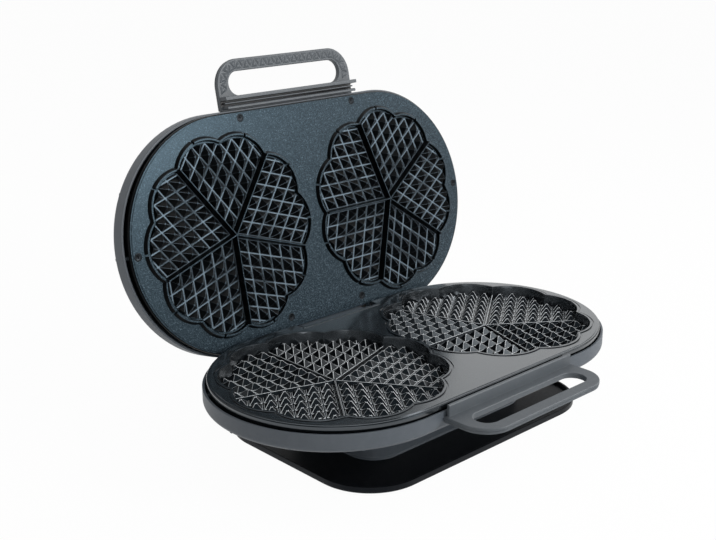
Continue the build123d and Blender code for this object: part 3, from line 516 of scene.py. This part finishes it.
# Non-stick film sprayed on die-cast aluminium and baked: black, wet-looking on the flats, where
# it mirrors the room. Its thin ridges are painted pale, a painted highlight, and the flanks of its
# cells painted near-black, a painted shade.
LOWER_COATING = NonStickCoating(
    name="nonstick_coating_on_lower_plate",
    base="#0f1215",
    tone="#14181b",
    roughness=0.22,
    roughness_spread=0.05,
    grain_mm=0.6,
    grain_depth_mm=0.006,
    ior=1.8,
    specular=0.8,
    sheen_tint="#96a3ad",
    clear_coat=0.8,
    flank="#090b0d",
    flank_sheen="#3d4850",
    ridge="#f2f6f9",
    ridge_turn=(0.74, 0.79, 0.89, 0.95),
    field_floor="#1c2226",
    fleck_share=0.12,
)
# The same film in a coarser, blue-grey spray: satin, with light flakes all over. The floors between
# the pyramids are painted pale, a painted highlight, and the pyramids' flanks painted near-black,
# a painted shade.
LID_COATING = replace(
    LOWER_COATING,
    name="nonstick_coating_on_lid_plate",
    base="#141b20",
    tone="#192127",
    roughness=0.3,
    grain_depth_mm=0.015,
    ior=1.5,
    specular=1.0,
    clear_coat=0.0,
    facing=LID_FACING,
    sheen_tint="#698392",
    flank="#050607",
    flank_sheen="#1d2124",
    flank_turn=(0.95, 0.99),
    ridge="#6b7781",
    ridge_turn=(0.78, 0.81, 0.84, 0.87),
    field_floor="#6c7a85",
    field_mm=(-82.35, -81.2),
    ridge_mm=(-82.3, -77.0),
    wall_gloss=0.0,
    fleck_share=0.42,
)
# ABS moulded against a spark-eroded tool: an even, matt slate grey.
CASING_ABS = MouldedPlastic(
    name="grained_abs_casing",
    base="#434950",
    tone="#495057",
    roughness=0.5,
    grain_mm=0.7,
    grain_depth_mm=0.035,
)
# PBT for the heat by the plates, moulded in the same grain: matt and a shade greyer than the casings.
HANDLE_PBT = ChannelledPlastic(
    name="grained_pbt_handle",
    base="#42474c",
    tone="#4a5055",
    roughness=0.48,
    grain_mm=0.7,
    grain_depth_mm=0.03,
)
# ABS from a finer tool: satin black that shows only soft highlights on its rim.
TRAY_ABS = MouldedPlastic(
    name="satin_black_abs_tray",
    base="#060709",
    tone="#090a0d",
    roughness=0.42,
    grain_mm=0.8,
    grain_depth_mm=0.02,
    specular=0.2,
    sheen_tint="#b9c4d2",
    rub=0.01,
)
# Silicone rubber moulded in a dull tool: soft black without highlights.
FOOT_RUBBER = Finish(
    name="moulded_silicone_rubber",
    base="#1a1b1c",
    tone="#202122",
    roughness=0.75,
    grain_mm=1.1,
    grain_depth_mm=0.05,
    ior=1.43,
)
# Steel with black zinc: nearly black, with dull highlights on its rims.
DARK_SCREW = DrawnMetal(
    name="black_zinc_plated_steel",
    base="#25282b",
    tone="#191b1d",
    roughness=0.36,
    metallic=1.0,
    drift_mm=6.0,
)
# Steel with bright zinc: silvery, with fine turned streaks.
BRIGHT_STEEL = DrawnMetal(
    name="zinc_plated_steel",
    base="#c4c6c8",
    tone="#aeb1b4",
    roughness=0.3,
    metallic=1.0,
    drift_mm=9.0,
)
# Stainless tube that has glowed: brownish grey and dull.
ELEMENT_STEEL = DrawnMetal(
    name="heat_tinted_element_tube",
    base="#6b6259",
    tone="#4d4a4b",
    roughness=0.42,
    metallic=1.0,
    drift_mm=14.0,
)
# Aluminium sheet as rolled: pale and bright, with streaks along the rolling.
SHIELD_SHEET = DrawnMetal(
    name="rolled_aluminium_sheet",
    base="#d4d6d8",
    tone="#c3c6c9",
    roughness=0.28,
    metallic=1.0,
    drift_mm=30.0,
)
# Uncoloured polyamide: a warm ivory with a soft gloss.
TERMINAL_PA = MouldedPlastic(
    name="natural_polyamide", base="#d9d4c6", tone="#e2ddd0", roughness=0.45
)
# Glass fibre braided and left raw: dull ivory with a small woven relief.
SLEEVE = WovenSleeve(
    name="braided_glass_sleeve", base="#d8d4c8", tone="#e6e2d8", roughness=0.8
)
# Glass-epoxy board under solder mask: a smooth dark green.
BOARD_GREEN = Finish(
    name="solder_masked_board", base="#1d4a2a", tone="#235432", roughness=0.32
)
# Tinted polycarbonate, moulded glossy: light glows in its edges.
LENS_RED = LampLens(
    name="red_polycarbonate_lens", base="#b3261a", tone="#c22e20", roughness=0.12, ior=1.58
)
# The same polycarbonate in green.
LENS_GREEN = LampLens(
    name="green_polycarbonate_lens", base="#2c9a3c", tone="#35a846", roughness=0.12, ior=1.58
)
# Pad-printed ink: a flat, slightly cool light grey.
PRINT_WHITE = Finish(
    name="pad_printed_ink", base="#d4d8dc", tone="#c8ccd1", roughness=0.55, grain_depth_mm=0.01
)

NODE_FINISH: dict[str, Finish] = {
    "foot_pads": FOOT_RUBBER,
    "base_tray": TRAY_ABS,
    "pedestal": CASING_ABS,
    "pedestal_screws": BRIGHT_STEEL,
    "casing_screws": BRIGHT_STEEL,
    "cord_gland": FOOT_RUBBER,
    "terminal_block": TERMINAL_PA,
    "lower_casing": CASING_ABS,
    "lower_plate": LOWER_COATING,
    "lower_plate_screws": BRIGHT_STEEL,
    "lower_heaters": ELEMENT_STEEL,
    "lower_heater_clamps": BRIGHT_STEEL,
    "lower_heat_shield": SHIELD_SHEET,
    "lower_thermal_fuse": SLEEVE,
    "lower_handle": HANDLE_PBT,
    "lower_handle_screws": BRIGHT_STEEL,
    "hinge_bracket": CASING_ABS,
    "hinge_bracket_screws": BRIGHT_STEEL,
    "hinge_pins": BRIGHT_STEEL,
    "upper_casing": CASING_ABS,
    "upper_plate": LID_COATING,
    "upper_plate_screws": DARK_SCREW,
    "upper_heaters": ELEMENT_STEEL,
    "upper_heater_clamps": BRIGHT_STEEL,
    "upper_heat_shield": SHIELD_SHEET,
    "upper_thermal_fuse": SLEEVE,
    "upper_handle": HANDLE_PBT,
    "upper_handle_screws": BRIGHT_STEEL,
    "hinge_block": CASING_ABS,
    "hinge_block_screws": BRIGHT_STEEL,
    "thermostat": BRIGHT_STEEL,
    "thermostat_dial": HANDLE_PBT,
    "lamp_board": BOARD_GREEN,
    "power_lamp": LENS_RED,
    "ready_lamp": LENS_GREEN,
}


def deselect_all() -> None:
    """Goes to object mode with nothing selected."""
    if bpy.context.object and bpy.context.object.mode != "OBJECT":
        bpy.ops.object.mode_set(mode="OBJECT")
    bpy.ops.object.select_all(action="DESELECT")


def wear(piece: Piece, finish: Finish) -> None:
    """Gives a piece one finish all over."""
    piece.data.materials.clear()
    piece.data.materials.append(finish.material())


def placed_copy(source: Piece, place: Matrix, name: str) -> Piece:
    """Copies a piece, with a mesh of its own that holds its place.

    Args:
        source: The piece to copy.
        place: Where the copy goes, from the origin.
        name: The copy's name.

    Returns:
        The copy.
    """
    mesh = source.data.copy()
    mesh.transform(place)
    copy = bpy.data.objects.new(name, mesh)
    bpy.context.scene.collection.objects.link(copy)
    return copy


def joined(pieces: list[Piece], name: str) -> Piece:
    """Joins pieces into one, which stays selected and active.

    Args:
        pieces: The pieces.
        name: The name of the whole.

    Returns:
        The whole.
    """
    deselect_all()
    for piece in pieces:
        piece.select_set(True)
    bpy.context.view_layer.objects.active = pieces[0]
    bpy.ops.object.join()
    whole = bpy.context.object
    whole.name = name
    return whole


@dataclass
class RoundedCopy:
    """A solid of the frame with its sharp edges broken, as a casting or a moulding has them."""

    node: str
    name: str
    body: Body
    slot: Slot
    finish: Finish
    radius_mm: float = 0.3
    room: float = 2.1
    segments: int = 2
    edge_deg: float = 28.0
    smooth_deg: float = 32.0

    @staticmethod
    def keep_inside(mesh: bpy.types.Mesh, source: bpy.types.Mesh) -> None:
        """Draws corners that the bevel's mitres pushed out back to the node's own extent.

        Args:
            mesh: The bevelled copy.
            source: The node's mesh, in the same places.
        """
        for axis in range(3):
            reach = [vertex.co[axis] for vertex in source.vertices]
            low, high = min(reach), max(reach)
            for vertex in mesh.vertices:
                vertex.co[axis] = min(max(vertex.co[axis], low), high)

    def build(self, frame: dict[str, Any]) -> Piece:
        """Copies the node, merges it, breaks its edges and puts it in the node's place.


        Returns:
            The new piece.
        """
        deselect_all()
        source = frame["nodes"][self.node]
        piece = placed_copy(source, Matrix(), self.name)
        piece.select_set(True)
        bpy.context.view_layer.objects.active = piece
        bpy.ops.object.mode_set(mode="EDIT")
        bpy.ops.mesh.select_all(action="SELECT")
        bpy.ops.mesh.remove_doubles(threshold=MERGE_MM * MM)
        bpy.ops.mesh.customdata_custom_splitnormals_clear()
        bpy.ops.mesh.select_all(action="SELECT")
        bpy.ops.mesh.dissolve_limited(angle_limit=math.radians(FLAT_DEG))
        bpy.ops.object.mode_set(mode="OBJECT")
        self.mark_edges(piece.data)
        edge = piece.modifiers.new("broken_edges", "BEVEL")
        edge.width = self.radius_mm * MM
        edge.segments = self.segments
        edge.limit_method = "WEIGHT"
        edge.use_clamp_overlap = False
        edge.miter_outer = "MITER_ARC"
        bpy.ops.object.modifier_apply(modifier=edge.name)
        self.keep_inside(piece.data, source.data)
        bpy.ops.object.shade_smooth_by_angle(angle=math.radians(self.smooth_deg))
        flat = piece.modifiers.new("flat_faces_stay_flat", "WEIGHTED_NORMAL")
        flat.weight = 100
        flat.keep_sharp = True
        bpy.ops.object.modifier_apply(modifier=flat.name)
        wear(piece, self.finish)
        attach(piece, self.body.value)
        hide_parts(self.node)
        LOG.info("%s: %d faces", self.name, len(piece.data.polygons))
        return piece

    def mark_edges(self, mesh: bpy.types.Mesh) -> None:
        """Gives a bevel weight to each sharp edge whose two faces have room for the rounding.

        Args:
            mesh: The copied mesh, merged and dissolved.
        """
        net = bmesh.new()
        net.from_mesh(mesh)
        weight = net.edges.layers.float.new("bevel_weight_edge")
        least = self.room * self.radius_mm * MM
        for edge in net.edges:
            faces = edge.link_faces
            if len(faces) != 2 or edge.calc_face_angle(0.0) < math.radians(self.edge_deg):
                continue
            long = max(edge.calc_length(), MERGE_MM * MM)
            if min(face.calc_area() for face in faces) / long > least:
                edge[weight] = 1.0
        net.to_mesh(mesh)
        net.free()


@dataclass(frozen=True)
class Softbox:
    """A square lamp: where it hangs, its power in watts and its side, in metres."""

    name: str
    place: Place
    watts: float
    side: float

    def hang(self, aim: Place) -> None:
        """Adds the lamp, turned to a point.

        Args:
            aim: The point, in metres.
        """
        light = bpy.data.lights.new(self.name, "AREA")
        light.energy = self.watts
        light.size = self.side
        holder = bpy.data.objects.new(self.name, light)
        bpy.context.scene.collection.objects.link(holder)
        holder.location = self.place
        way = Vector(aim) - Vector(self.place)
        holder.rotation_euler = way.to_track_quat("-Z", "Y").to_euler()


@dataclass
class Studio:
    """A plain pale floor with soft lamps round the object."""

    floor_size: float = 14.0
    floor_colour: str = "#f2f2f2"
    white: str = "#ffffff"
    floor_white: float = 0.97
    sky_level: float = 0.28
    aim: Place = (0.0, 0.0, 0.12)
    lamps: tuple[Softbox, ...] = (
        Softbox("key_softbox", (0.45, -1.0, 0.58), 8.5, 0.4),
        Softbox("fill_softbox", (1.2, -0.7, 0.85), 7.0, 0.6),
        Softbox("top_softbox", (0.1, 0.3, 1.6), 5.0, 1.2),
        Softbox("front_softbox", (-0.85, -1.15, 0.35), 3.5, 0.8),
    )

    def seen(self, tree: Tree) -> Socket:
        """Tells the rays that show the background: camera, glossy and transmission rays.

        Args:
            tree: The node tree that takes the nodes.

        Returns:
            1 for those rays, 0 for the others.
        """
        path = add_node(tree, "ShaderNodeLightPath").outputs
        first = calculate(tree, "MAXIMUM", path["Is Camera Ray"], path["Is Glossy Ray"])
        return calculate(tree, "MAXIMUM", first, path["Is Transmission Ray"])

    def floor(self) -> Piece:
        """Builds the floor: white where the camera sees it, with the object's soft shadow.

        Returns:
            The floor.
        """
        deselect_all()
        bpy.ops.mesh.primitive_plane_add(size=self.floor_size, location=(0.0, 0.0, 0.0))
        floor = bpy.context.object
        floor.name = "studio_floor"
        paint = bpy.data.materials.new("matt_white_floor")
        paint.use_nodes = True
        tree = paint.node_tree
        tree.nodes.clear()
        matt = add_node(tree, "ShaderNodeBsdfDiffuse", {"Color": linear(self.floor_colour)})
        glow = add_node(
            tree, "ShaderNodeEmission", {"Color": linear(self.white), "Strength": 1.0}
        )
        share = calculate(tree, "MULTIPLY", self.seen(tree), self.floor_white)
        mixed = add_node(
            tree,
            "ShaderNodeMixShader",
            {0: share, 1: matt.outputs["BSDF"], 2: glow.outputs["Emission"]},
        )
        add_node(tree, "ShaderNodeOutputMaterial", {"Surface": mixed.outputs["Shader"]})
        floor.data.materials.append(paint)
        return floor

    def sky(self) -> None:
        """Makes the world white to the eye and a soft grey as a lamp."""
        world = bpy.data.worlds.new("studio_sky")
        bpy.context.scene.world = world
        world.use_nodes = True
        tree = world.node_tree
        tree.nodes.clear()
        level = add_node(
            tree,
            "ShaderNodeMapRange",
            {"Value": self.seen(tree), "To Min": self.sky_level, "To Max": 1.0},
        )
        light = {"Color": linear(self.white), "Strength": level.outputs["Result"]}
        sky = add_node(tree, "ShaderNodeBackground", light)
        add_node(tree, "ShaderNodeOutputWorld", {"Surface": sky.outputs["Background"]})

    def build(self) -> None:
        """Builds the floor, the sky and the lamps."""
        self.floor()
        self.sky()
        for lamp in self.lamps:
            lamp.hang(self.aim)


@dataclass
class StillCamera:
    """The camera at the photograph's place and angle."""

    azimuth_deg: float = -43.20
    elevation_deg: float = 17.64
    roll_deg: float = -0.22
    location: Place = (-0.66873, -0.65341, 0.43025)
    lens_mm: float = 57.50
    sensor_mm: float = 36.0
    near: float = 0.05
    far: float = 50.0

    def build(self) -> Piece:
        """Makes the camera and the scene's active view.

        Returns:
            The camera.
        """
        a, e, r = (
            math.radians(v) for v in (self.azimuth_deg, self.elevation_deg, self.roll_deg)
        )
        back = Vector((math.sin(a) * math.cos(e), -math.cos(a) * math.cos(e), math.sin(e)))
        right = (-back).cross(Vector((0.0, 0.0, 1.0))).normalized()
        up = right.cross(-back)
        turned_right = right * math.cos(r) + up * math.sin(r)
        turned_up = up * math.cos(r) - right * math.sin(r)
        lens = bpy.data.cameras.new("still_camera")
        lens.lens = self.lens_mm
        lens.sensor_width = self.sensor_mm
        lens.clip_start, lens.clip_end = self.near, self.far
        holder = bpy.data.objects.new("still_camera", lens)
        bpy.context.scene.collection.objects.link(holder)
        turn = Matrix((turned_right, turned_up, back)).transposed().to_4x4()
        holder.matrix_world = Matrix.Translation(Vector(self.location)) @ turn
        bpy.context.scene.camera = holder
        return holder


@dataclass
class LidFrame:
    """Places given with the lid shut, from the hinge axis, and where they are with it open."""

    hinge: Place = (0.0, 0.0879638, 0.0622)

    def matrix(self) -> Matrix:
        """Returns the map from shut places, measured from the hinge axis, to the open lid."""
        turn = Matrix.Rotation(-math.radians(OPEN_DEG), 4, "X")
        return Matrix.Translation(Vector(self.hinge)) @ turn


SOFTENED: tuple[RoundedCopy, ...] = (
    RoundedCopy("lower_plate", "lower_iron", Body.BASE, Slot.PLATE, LOWER_COATING, 0.42),
    RoundedCopy("upper_plate", "upper_iron", Body.LID, Slot.PLATE, LID_COATING),
    RoundedCopy("lower_handle", "lower_grip", Body.BASE, Slot.HANDLE, HANDLE_PBT, 0.45),
    RoundedCopy("upper_handle", "upper_grip", Body.LID, Slot.HANDLE, HANDLE_PBT, 0.45),
    RoundedCopy("lower_casing", "lower_shell", Body.BASE, Slot.CASING, CASING_ABS, 0.6),
    RoundedCopy("upper_casing", "upper_shell", Body.LID, Slot.CASING, CASING_ABS, 0.6),
    RoundedCopy("base_tray", "foot_tray", Body.BASE, Slot.TRAY, TRAY_ABS, 0.6),
    RoundedCopy("pedestal", "pedestal_shell", Body.BASE, Slot.CASING, CASING_ABS, 0.8),
    RoundedCopy("hinge_block", "hinge_barrel", Body.LID, Slot.CASING, CASING_ABS, 0.5),
    RoundedCopy("hinge_bracket", "hinge_cradle", Body.BASE, Slot.CASING, CASING_ABS, 0.4),
    RoundedCopy("thermostat_dial", "knob", Body.DIAL, Slot.HANDLE, HANDLE_PBT, 0.4),
)


@dataclass
class GripRelief:
    """Low triangular facets in a row along the loop of the lid's grip."""

    face_mm: float = 19.0
    casing_front_mm: float = -206.3
    arm_x_mm: float = 71.25
    front_reach_mm: float = 38.8
    corner_x_mm: float = 53.5
    corner_reach_mm: float = 20.2
    arm_start_mm: float = 13.6
    pitch_mm: float = 8.9
    gap_mm: float = 0.8
    tall_mm: float = 7.6
    relief_mm: float = 0.9
    sink_mm: float = 0.05
    crest_share: float = 0.25
    edge_mm: float = 0.12
    corner_steps: int = 20

    def path(self) -> list[tuple[Vector, Vector, float]]:
        """Follows the loop's middle line in millimetres.

        Returns:
            Points along it, each with its place, its outward way and its distance so far.
        """
        rx = self.arm_x_mm - self.corner_x_mm
        ry = self.front_reach_mm - self.corner_reach_mm
        line = [Vector((-self.arm_x_mm, self.arm_start_mm))]
        quarter = math.pi / 2.0
        turns = [quarter * k / self.corner_steps for k in range(self.corner_steps + 1)]
        line += [
            Vector(
                (
                    -self.corner_x_mm - rx * math.cos(t),
                    self.corner_reach_mm + ry * math.sin(t),
                )
            )
            for t in turns
        ]
        line += [Vector((-point.x, point.y)) for point in reversed(line)]
        out, run = [], 0.0
        for here, following in zip(line, line[1:]):
            step = following - here
            if step.length > MERGE_MM:
                way = step.normalized()
                out.append((here, Vector((-way.y, way.x)), run))
                run += step.length
        out.append((line[-1], out[-1][1], run))
        return out

    def tile(self) -> Piece:
        """Models one low three-sided facet with broken edges.

        Returns:
            The facet, lying at the origin.
        """
        deselect_all()
        bpy.ops.mesh.primitive_cone_add(
            vertices=3,
            radius1=1.0,
            radius2=self.crest_share,
            depth=1.0,
            location=(0.0, 0.0, 0.5),
        )
        tile = bpy.context.object
        bpy.ops.object.transform_apply(location=True, rotation=True, scale=True)
        bpy.ops.object.mode_set(mode="EDIT")
        bpy.ops.mesh.select_all(action="SELECT")
        # A triangle of radius 1 is sqrt(3) wide and 1.5 tall, its middle a quarter off the centre.
        wide = (self.pitch_mm - self.gap_mm) / math.sqrt(3.0) * MM
        tall = self.tall_mm / 1.5 * MM
        deep = (self.relief_mm + self.sink_mm) * MM
        bpy.ops.transform.resize(value=(wide, tall, deep), center_override=(0.0, 0.0, 0.0))
        bpy.ops.transform.translate(value=(0.0, -tall / 4.0, 0.0))
        bpy.ops.mesh.bevel(offset=self.edge_mm * MM, segments=2, affect="EDGES")
        bpy.ops.object.mode_set(mode="OBJECT")
        return tile

    def build(self) -> Piece:
        """Copies the facet along the loop, every second one turned round.

        Returns:
            The row of facets as one piece.
        """
        tile = self.tile()
        path = self.path()
        length = path[-1][2]
        count = int(length // (self.pitch_mm / 2.0)) - 1
        step = length / (count + 1)
        lid = LidFrame().matrix()
        copies = []
        for k in range(count):
            run = (k + 1) * step
            near = max((p for p in path if p[2] <= run), key=lambda p: p[2])
            ahead = Vector((near[1].y, -near[1].x)) * (run - near[2])
            spot = near[0] + ahead
            out = near[1] if k % 2 else -near[1]
            side = Vector((out.y, -out.x))
            place = Matrix(
                (
                    (side.x, out.x, 0.0, spot.x * MM),
                    (-side.y, -out.y, 0.0, (self.casing_front_mm - spot.y) * MM),
                    (0.0, 0.0, -1.0, (self.face_mm + self.sink_mm) * MM),
                    (0.0, 0.0, 0.0, 1.0),
                )
            )
            copies.append(placed_copy(tile, lid @ place, "grip_facet"))
        bpy.data.objects.remove(tile)
        relief = joined(copies, "upper_grip_facets")
        bpy.ops.object.shade_smooth_by_angle(angle=math.radians(SMOOTH_DEG))
        wear(relief, HANDLE_PBT)
        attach(relief, Body.LID.value)
        return relief


@dataclass
class CrossHeadScrews:
    """The screws in the face of the lid's plate, each with a rim, a dish and a cross recess."""

    node: str = "upper_plate_screws"
    head_mm: float = 3.3
    head_deep_mm: float = 1.9
    rim_mm: float = 0.8
    dish_mm: float = 0.35
    shank_mm: float = 1.7
    shank_long_mm: float = 6.0
    cross_mm: float = 3.4
    cross_wide_mm: float = 0.85
    cross_deep_mm: float = 1.1
    cross_tip: float = 0.6
    draft: float = 0.86
    edge_mm: float = 0.15
    edge_deg: float = 40.0
    sides: int = 40
    turn: float = 0.7

    def places(self, source: Piece) -> list[Vector]:
        """Finds the screws in the node's mesh.

        Args:
            source: The node that holds all the screws.

        Returns:
            The middle of each screw's outer face.
        """
        facing = Vector(LID_FACING)
        net = bmesh.new()
        net.from_mesh(source.data)
        bmesh.ops.remove_doubles(net, verts=net.verts, dist=MERGE_MM * MM)
        left, spots = set(net.verts), []
        while left:
            grown = [left.pop()]
            island = list(grown)
            while grown:
                vert = grown.pop()
                for edge in vert.link_edges:
                    other = edge.other_vert(vert)
                    if other in left:
                        left.remove(other)
                        grown.append(other)
                        island.append(other)
            top = max(vert.co.dot(facing) for vert in island)
            level = top - FLUSH_MM * MM
            rim = [vert.co for vert in island if vert.co.dot(facing) > level]
            axes = [[point[k] for point in rim] for k in range(3)]
            spots.append(Vector([(min(axis) + max(axis)) / 2.0 for axis in axes]))
        net.free()
        return spots

    def cutter(self) -> Piece:
        """Models the driver's cross, narrower towards its tip.

        Returns:
            The cross, its middle at the origin.
        """
        deselect_all()
        for turn in (0.0, math.pi / 2.0):
            bpy.ops.mesh.primitive_cube_add(size=1.0, rotation=(0.0, 0.0, turn))
            bar = bpy.context.object
            sizes = (self.cross_mm, self.cross_wide_mm, 2.0 * self.cross_deep_mm)
            bar.scale = Vector(sizes) * MM
            bpy.ops.object.transform_apply(location=False, rotation=True, scale=True)
            bpy.ops.object.mode_set(mode="EDIT")
            bpy.ops.mesh.select_all(action="DESELECT")
            bpy.ops.object.mode_set(mode="OBJECT")
            for face in bar.data.polygons:
                face.select = face.normal.z < -SQUARE_ON
            bpy.ops.object.mode_set(mode="EDIT")
            bpy.ops.transform.resize(value=(self.cross_tip, self.cross_tip, 1.0))
            bpy.ops.object.mode_set(mode="OBJECT")
            bar.name = f"driver_bar_{int(turn > 0)}"
        first = bpy.data.objects["driver_bar_0"]
        union = first.modifiers.new("second_bar", "BOOLEAN")
        union.operation = "UNION"
        union.object = bpy.data.objects["driver_bar_1"]
        bpy.ops.object.select_all(action="DESELECT")
        first.select_set(True)
        bpy.context.view_layer.objects.active = first
        bpy.ops.object.modifier_apply(modifier=union.name)
        bpy.data.objects.remove(bpy.data.objects["driver_bar_1"])
        return first

    def model(self) -> Piece:
        """Models one screw.

        Returns:
            The screw, its outer face up at the origin.
        """
        cross = self.cutter()
        deselect_all()
        bpy.ops.mesh.primitive_cylinder_add(
            vertices=self.sides, radius=self.head_mm * MM, depth=self.head_deep_mm * MM
        )
        screw = bpy.context.object
        screw.location.z = -self.head_deep_mm / 2.0 * MM
        bpy.ops.object.transform_apply(location=True, rotation=True, scale=True)
        for up, inset, push in (
            (1.0, self.rim_mm, -self.dish_mm),
            (-1.0, self.head_mm - self.shank_mm, -self.shank_long_mm),
        ):
            bpy.ops.object.mode_set(mode="EDIT")
            bpy.ops.mesh.select_all(action="DESELECT")
            bpy.ops.mesh.select_mode(type="FACE")
            bpy.ops.object.mode_set(mode="OBJECT")
            for face in screw.data.polygons:
                face.select = face.normal.z * up > SQUARE_ON
            bpy.ops.object.mode_set(mode="EDIT")
            bpy.ops.mesh.inset(thickness=inset * MM)
            bpy.ops.mesh.extrude_region_move(
                TRANSFORM_OT_translate={"value": (0.0, 0.0, push * MM)}
            )
            bpy.ops.transform.resize(value=(self.draft, self.draft, 1.0))
            bpy.ops.object.mode_set(mode="OBJECT")
        recess = screw.modifiers.new("cross_recess", "BOOLEAN")
        recess.operation = "DIFFERENCE"
        recess.object = cross
        bpy.ops.object.modifier_apply(modifier=recess.name)
        rim = screw.modifiers.new("broken_rim", "BEVEL")
        rim.width = self.edge_mm * MM
        rim.segments = 2
        rim.limit_method = "ANGLE"
        rim.angle_limit = math.radians(self.edge_deg)
        bpy.ops.object.modifier_apply(modifier=rim.name)
        bpy.data.objects.remove(cross)
        return screw

    def build(self, frame: dict[str, Any]) -> Piece:
        """Puts one screw in each place of the node and joins them.


        Returns:
            The screws as one piece.
        """
        screw = self.model()
        tilt = Vector(LID_FACING).to_track_quat("Z", "X").to_matrix().to_4x4()
        copies = []
        for k, spot in enumerate(self.places(frame["nodes"][self.node])):
            turn = Matrix.Rotation(self.turn * k, 4, "Z")
            copies.append(placed_copy(screw, Matrix.Translation(spot) @ tilt @ turn, "lid_screw"))
        bpy.data.objects.remove(screw)
        screws = joined(copies, "lid_cross_screws")
        bpy.ops.object.shade_smooth_by_angle(angle=math.radians(SMOOTH_DEG))
        wear(screws, DARK_SCREW)
        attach(screws, Body.LID.value)
        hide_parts(self.node)
        return screws


@dataclass
class DialScale:
    """The printed scale round the dial on the lid's top: ticks and plain numbers."""

    middle_mm: Span = (0.0, -158.5)
    top_mm: float = 30.6
    film_mm: float = 0.08
    tick_from_mm: float = 19.5
    tick_to_mm: float = 22.5
    tick_wide_mm: float = 0.7
    tick_edge_mm: float = 0.05
    number_at_mm: float = 26.5
    number_mm: float = 5.5
    steps: int = 6
    sweep_deg: float = 270.0
    pointer_mm: float = 5.6
    pointer_at_mm: float = 9.35
    pointer_rise_mm: float = 8.85

    def put(
        self,
        mesh: bpy.types.Mesh,
        turn: float,
        reach_mm: float,
        upright: bool,
        rise_mm: float = 0.0,
    ) -> None:
        """Moves a mark from the origin to its place round the dial, on the open lid.

        Args:
            mesh: The mark, flat on the XY plane.
            turn: Its angle round the dial, clockwise from the front.
            reach_mm: Its distance from the dial's axis.
            upright: Whether the mark stays level instead of turning with the scale.
            rise_mm: Its height over the lid's top.
        """
        spot = Vector(
            (
                self.middle_mm[0] - reach_mm * math.sin(turn),
                self.middle_mm[1] - reach_mm * math.cos(turn),
                self.top_mm + rise_mm,
            )
        )
        spin = Matrix.Rotation(0.0 if upright else -turn, 4, "Z")
        mesh.transform(LidFrame().matrix() @ Matrix.Translation(spot * MM) @ spin)

    def tick(self, long_mm: float) -> Piece:
        """Models one tick with broken edges.

        Args:
            long_mm: Its length.

        Returns:
            The tick, along Y at the origin.
        """
        deselect_all()
        bpy.ops.mesh.primitive_cube_add(size=1.0)
        tick = bpy.context.object
        tick.scale = Vector((self.tick_wide_mm, long_mm, 2.0 * self.film_mm)) * MM
        bpy.ops.object.transform_apply(location=False, rotation=False, scale=True)
        bpy.ops.object.mode_set(mode="EDIT")
        bpy.ops.mesh.select_all(action="SELECT")
        bpy.ops.mesh.bevel(offset=self.tick_edge_mm * MM, segments=1, affect="EDGES")
        bpy.ops.object.mode_set(mode="OBJECT")
        return tick

    def number(self, text: str) -> Piece:
        """Models one number as a thin raised print.

        Args:
            text: The number.

        Returns:
            The number as a mesh, its middle at the origin.
        """
        deselect_all()
        bpy.ops.object.text_add(location=(0.0, 0.0, 0.0))
        number = bpy.context.object
        number.data.body = text
        number.data.size = self.number_mm * MM
        number.data.extrude = self.film_mm * MM
        number.data.align_x = "CENTER"
        number.data.align_y = "CENTER"
        bpy.ops.object.convert(target="MESH")
        return bpy.context.object

    def build(self) -> Piece:
        """Prints the whole scale.

        Returns:
            The scale as one piece.
        """
        marks = []
        for k in range(self.steps + 1):
            turn = math.pi + math.radians(k * self.sweep_deg / self.steps)
            middle = (self.tick_from_mm + self.tick_to_mm) / 2.0
            for mark, reach, upright in (
                (self.tick(self.tick_to_mm - self.tick_from_mm), middle, False),
                (self.number(str(k)), self.number_at_mm, True),
            ):
                self.put(mark.data, turn, reach, upright)
                marks.append(mark)
        scale = joined(marks, "dial_scale")
        wear(scale, PRINT_WHITE)
        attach(scale, Body.LID.value)
        return scale

    def pointer(self) -> Piece:
        """Prints the line on the dial that shows its setting, at the scale's beginning.

        Returns:
            The line.
        """
        line = self.tick(self.pointer_mm)
        line.name = "dial_pointer"
        self.put(line.data, math.pi, self.pointer_at_mm, False, self.pointer_rise_mm)
        wear(line, PRINT_WHITE)
        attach(line, Body.DIAL.value)
        return line


def dress_nodes(frame: dict[str, Any]) -> None:
    """Gives every node of the frame its finish.
    """
    for name, node in frame["nodes"].items():
        wear(node, NODE_FINISH[name])
        LOG.info("%s wears %s", name, NODE_FINISH[name].name)


def main() -> None:
    """Dresses the frame, adds the scene's own pieces, the studio and the camera."""
    logging.basicConfig(level=logging.INFO, format="%(name)s %(message)s")
    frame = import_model()
    bpy.context.scene.view_settings.view_transform = "Standard"
    StillCamera().build()
    Studio().build()
    dress_nodes(frame)
    for copy in SOFTENED:
        copy.build(frame)
    GripRelief().build()
    CrossHeadScrews().build(frame)
    scale = DialScale()
    scale.build()
    scale.pointer()


if __name__ == "__main__":
    main()
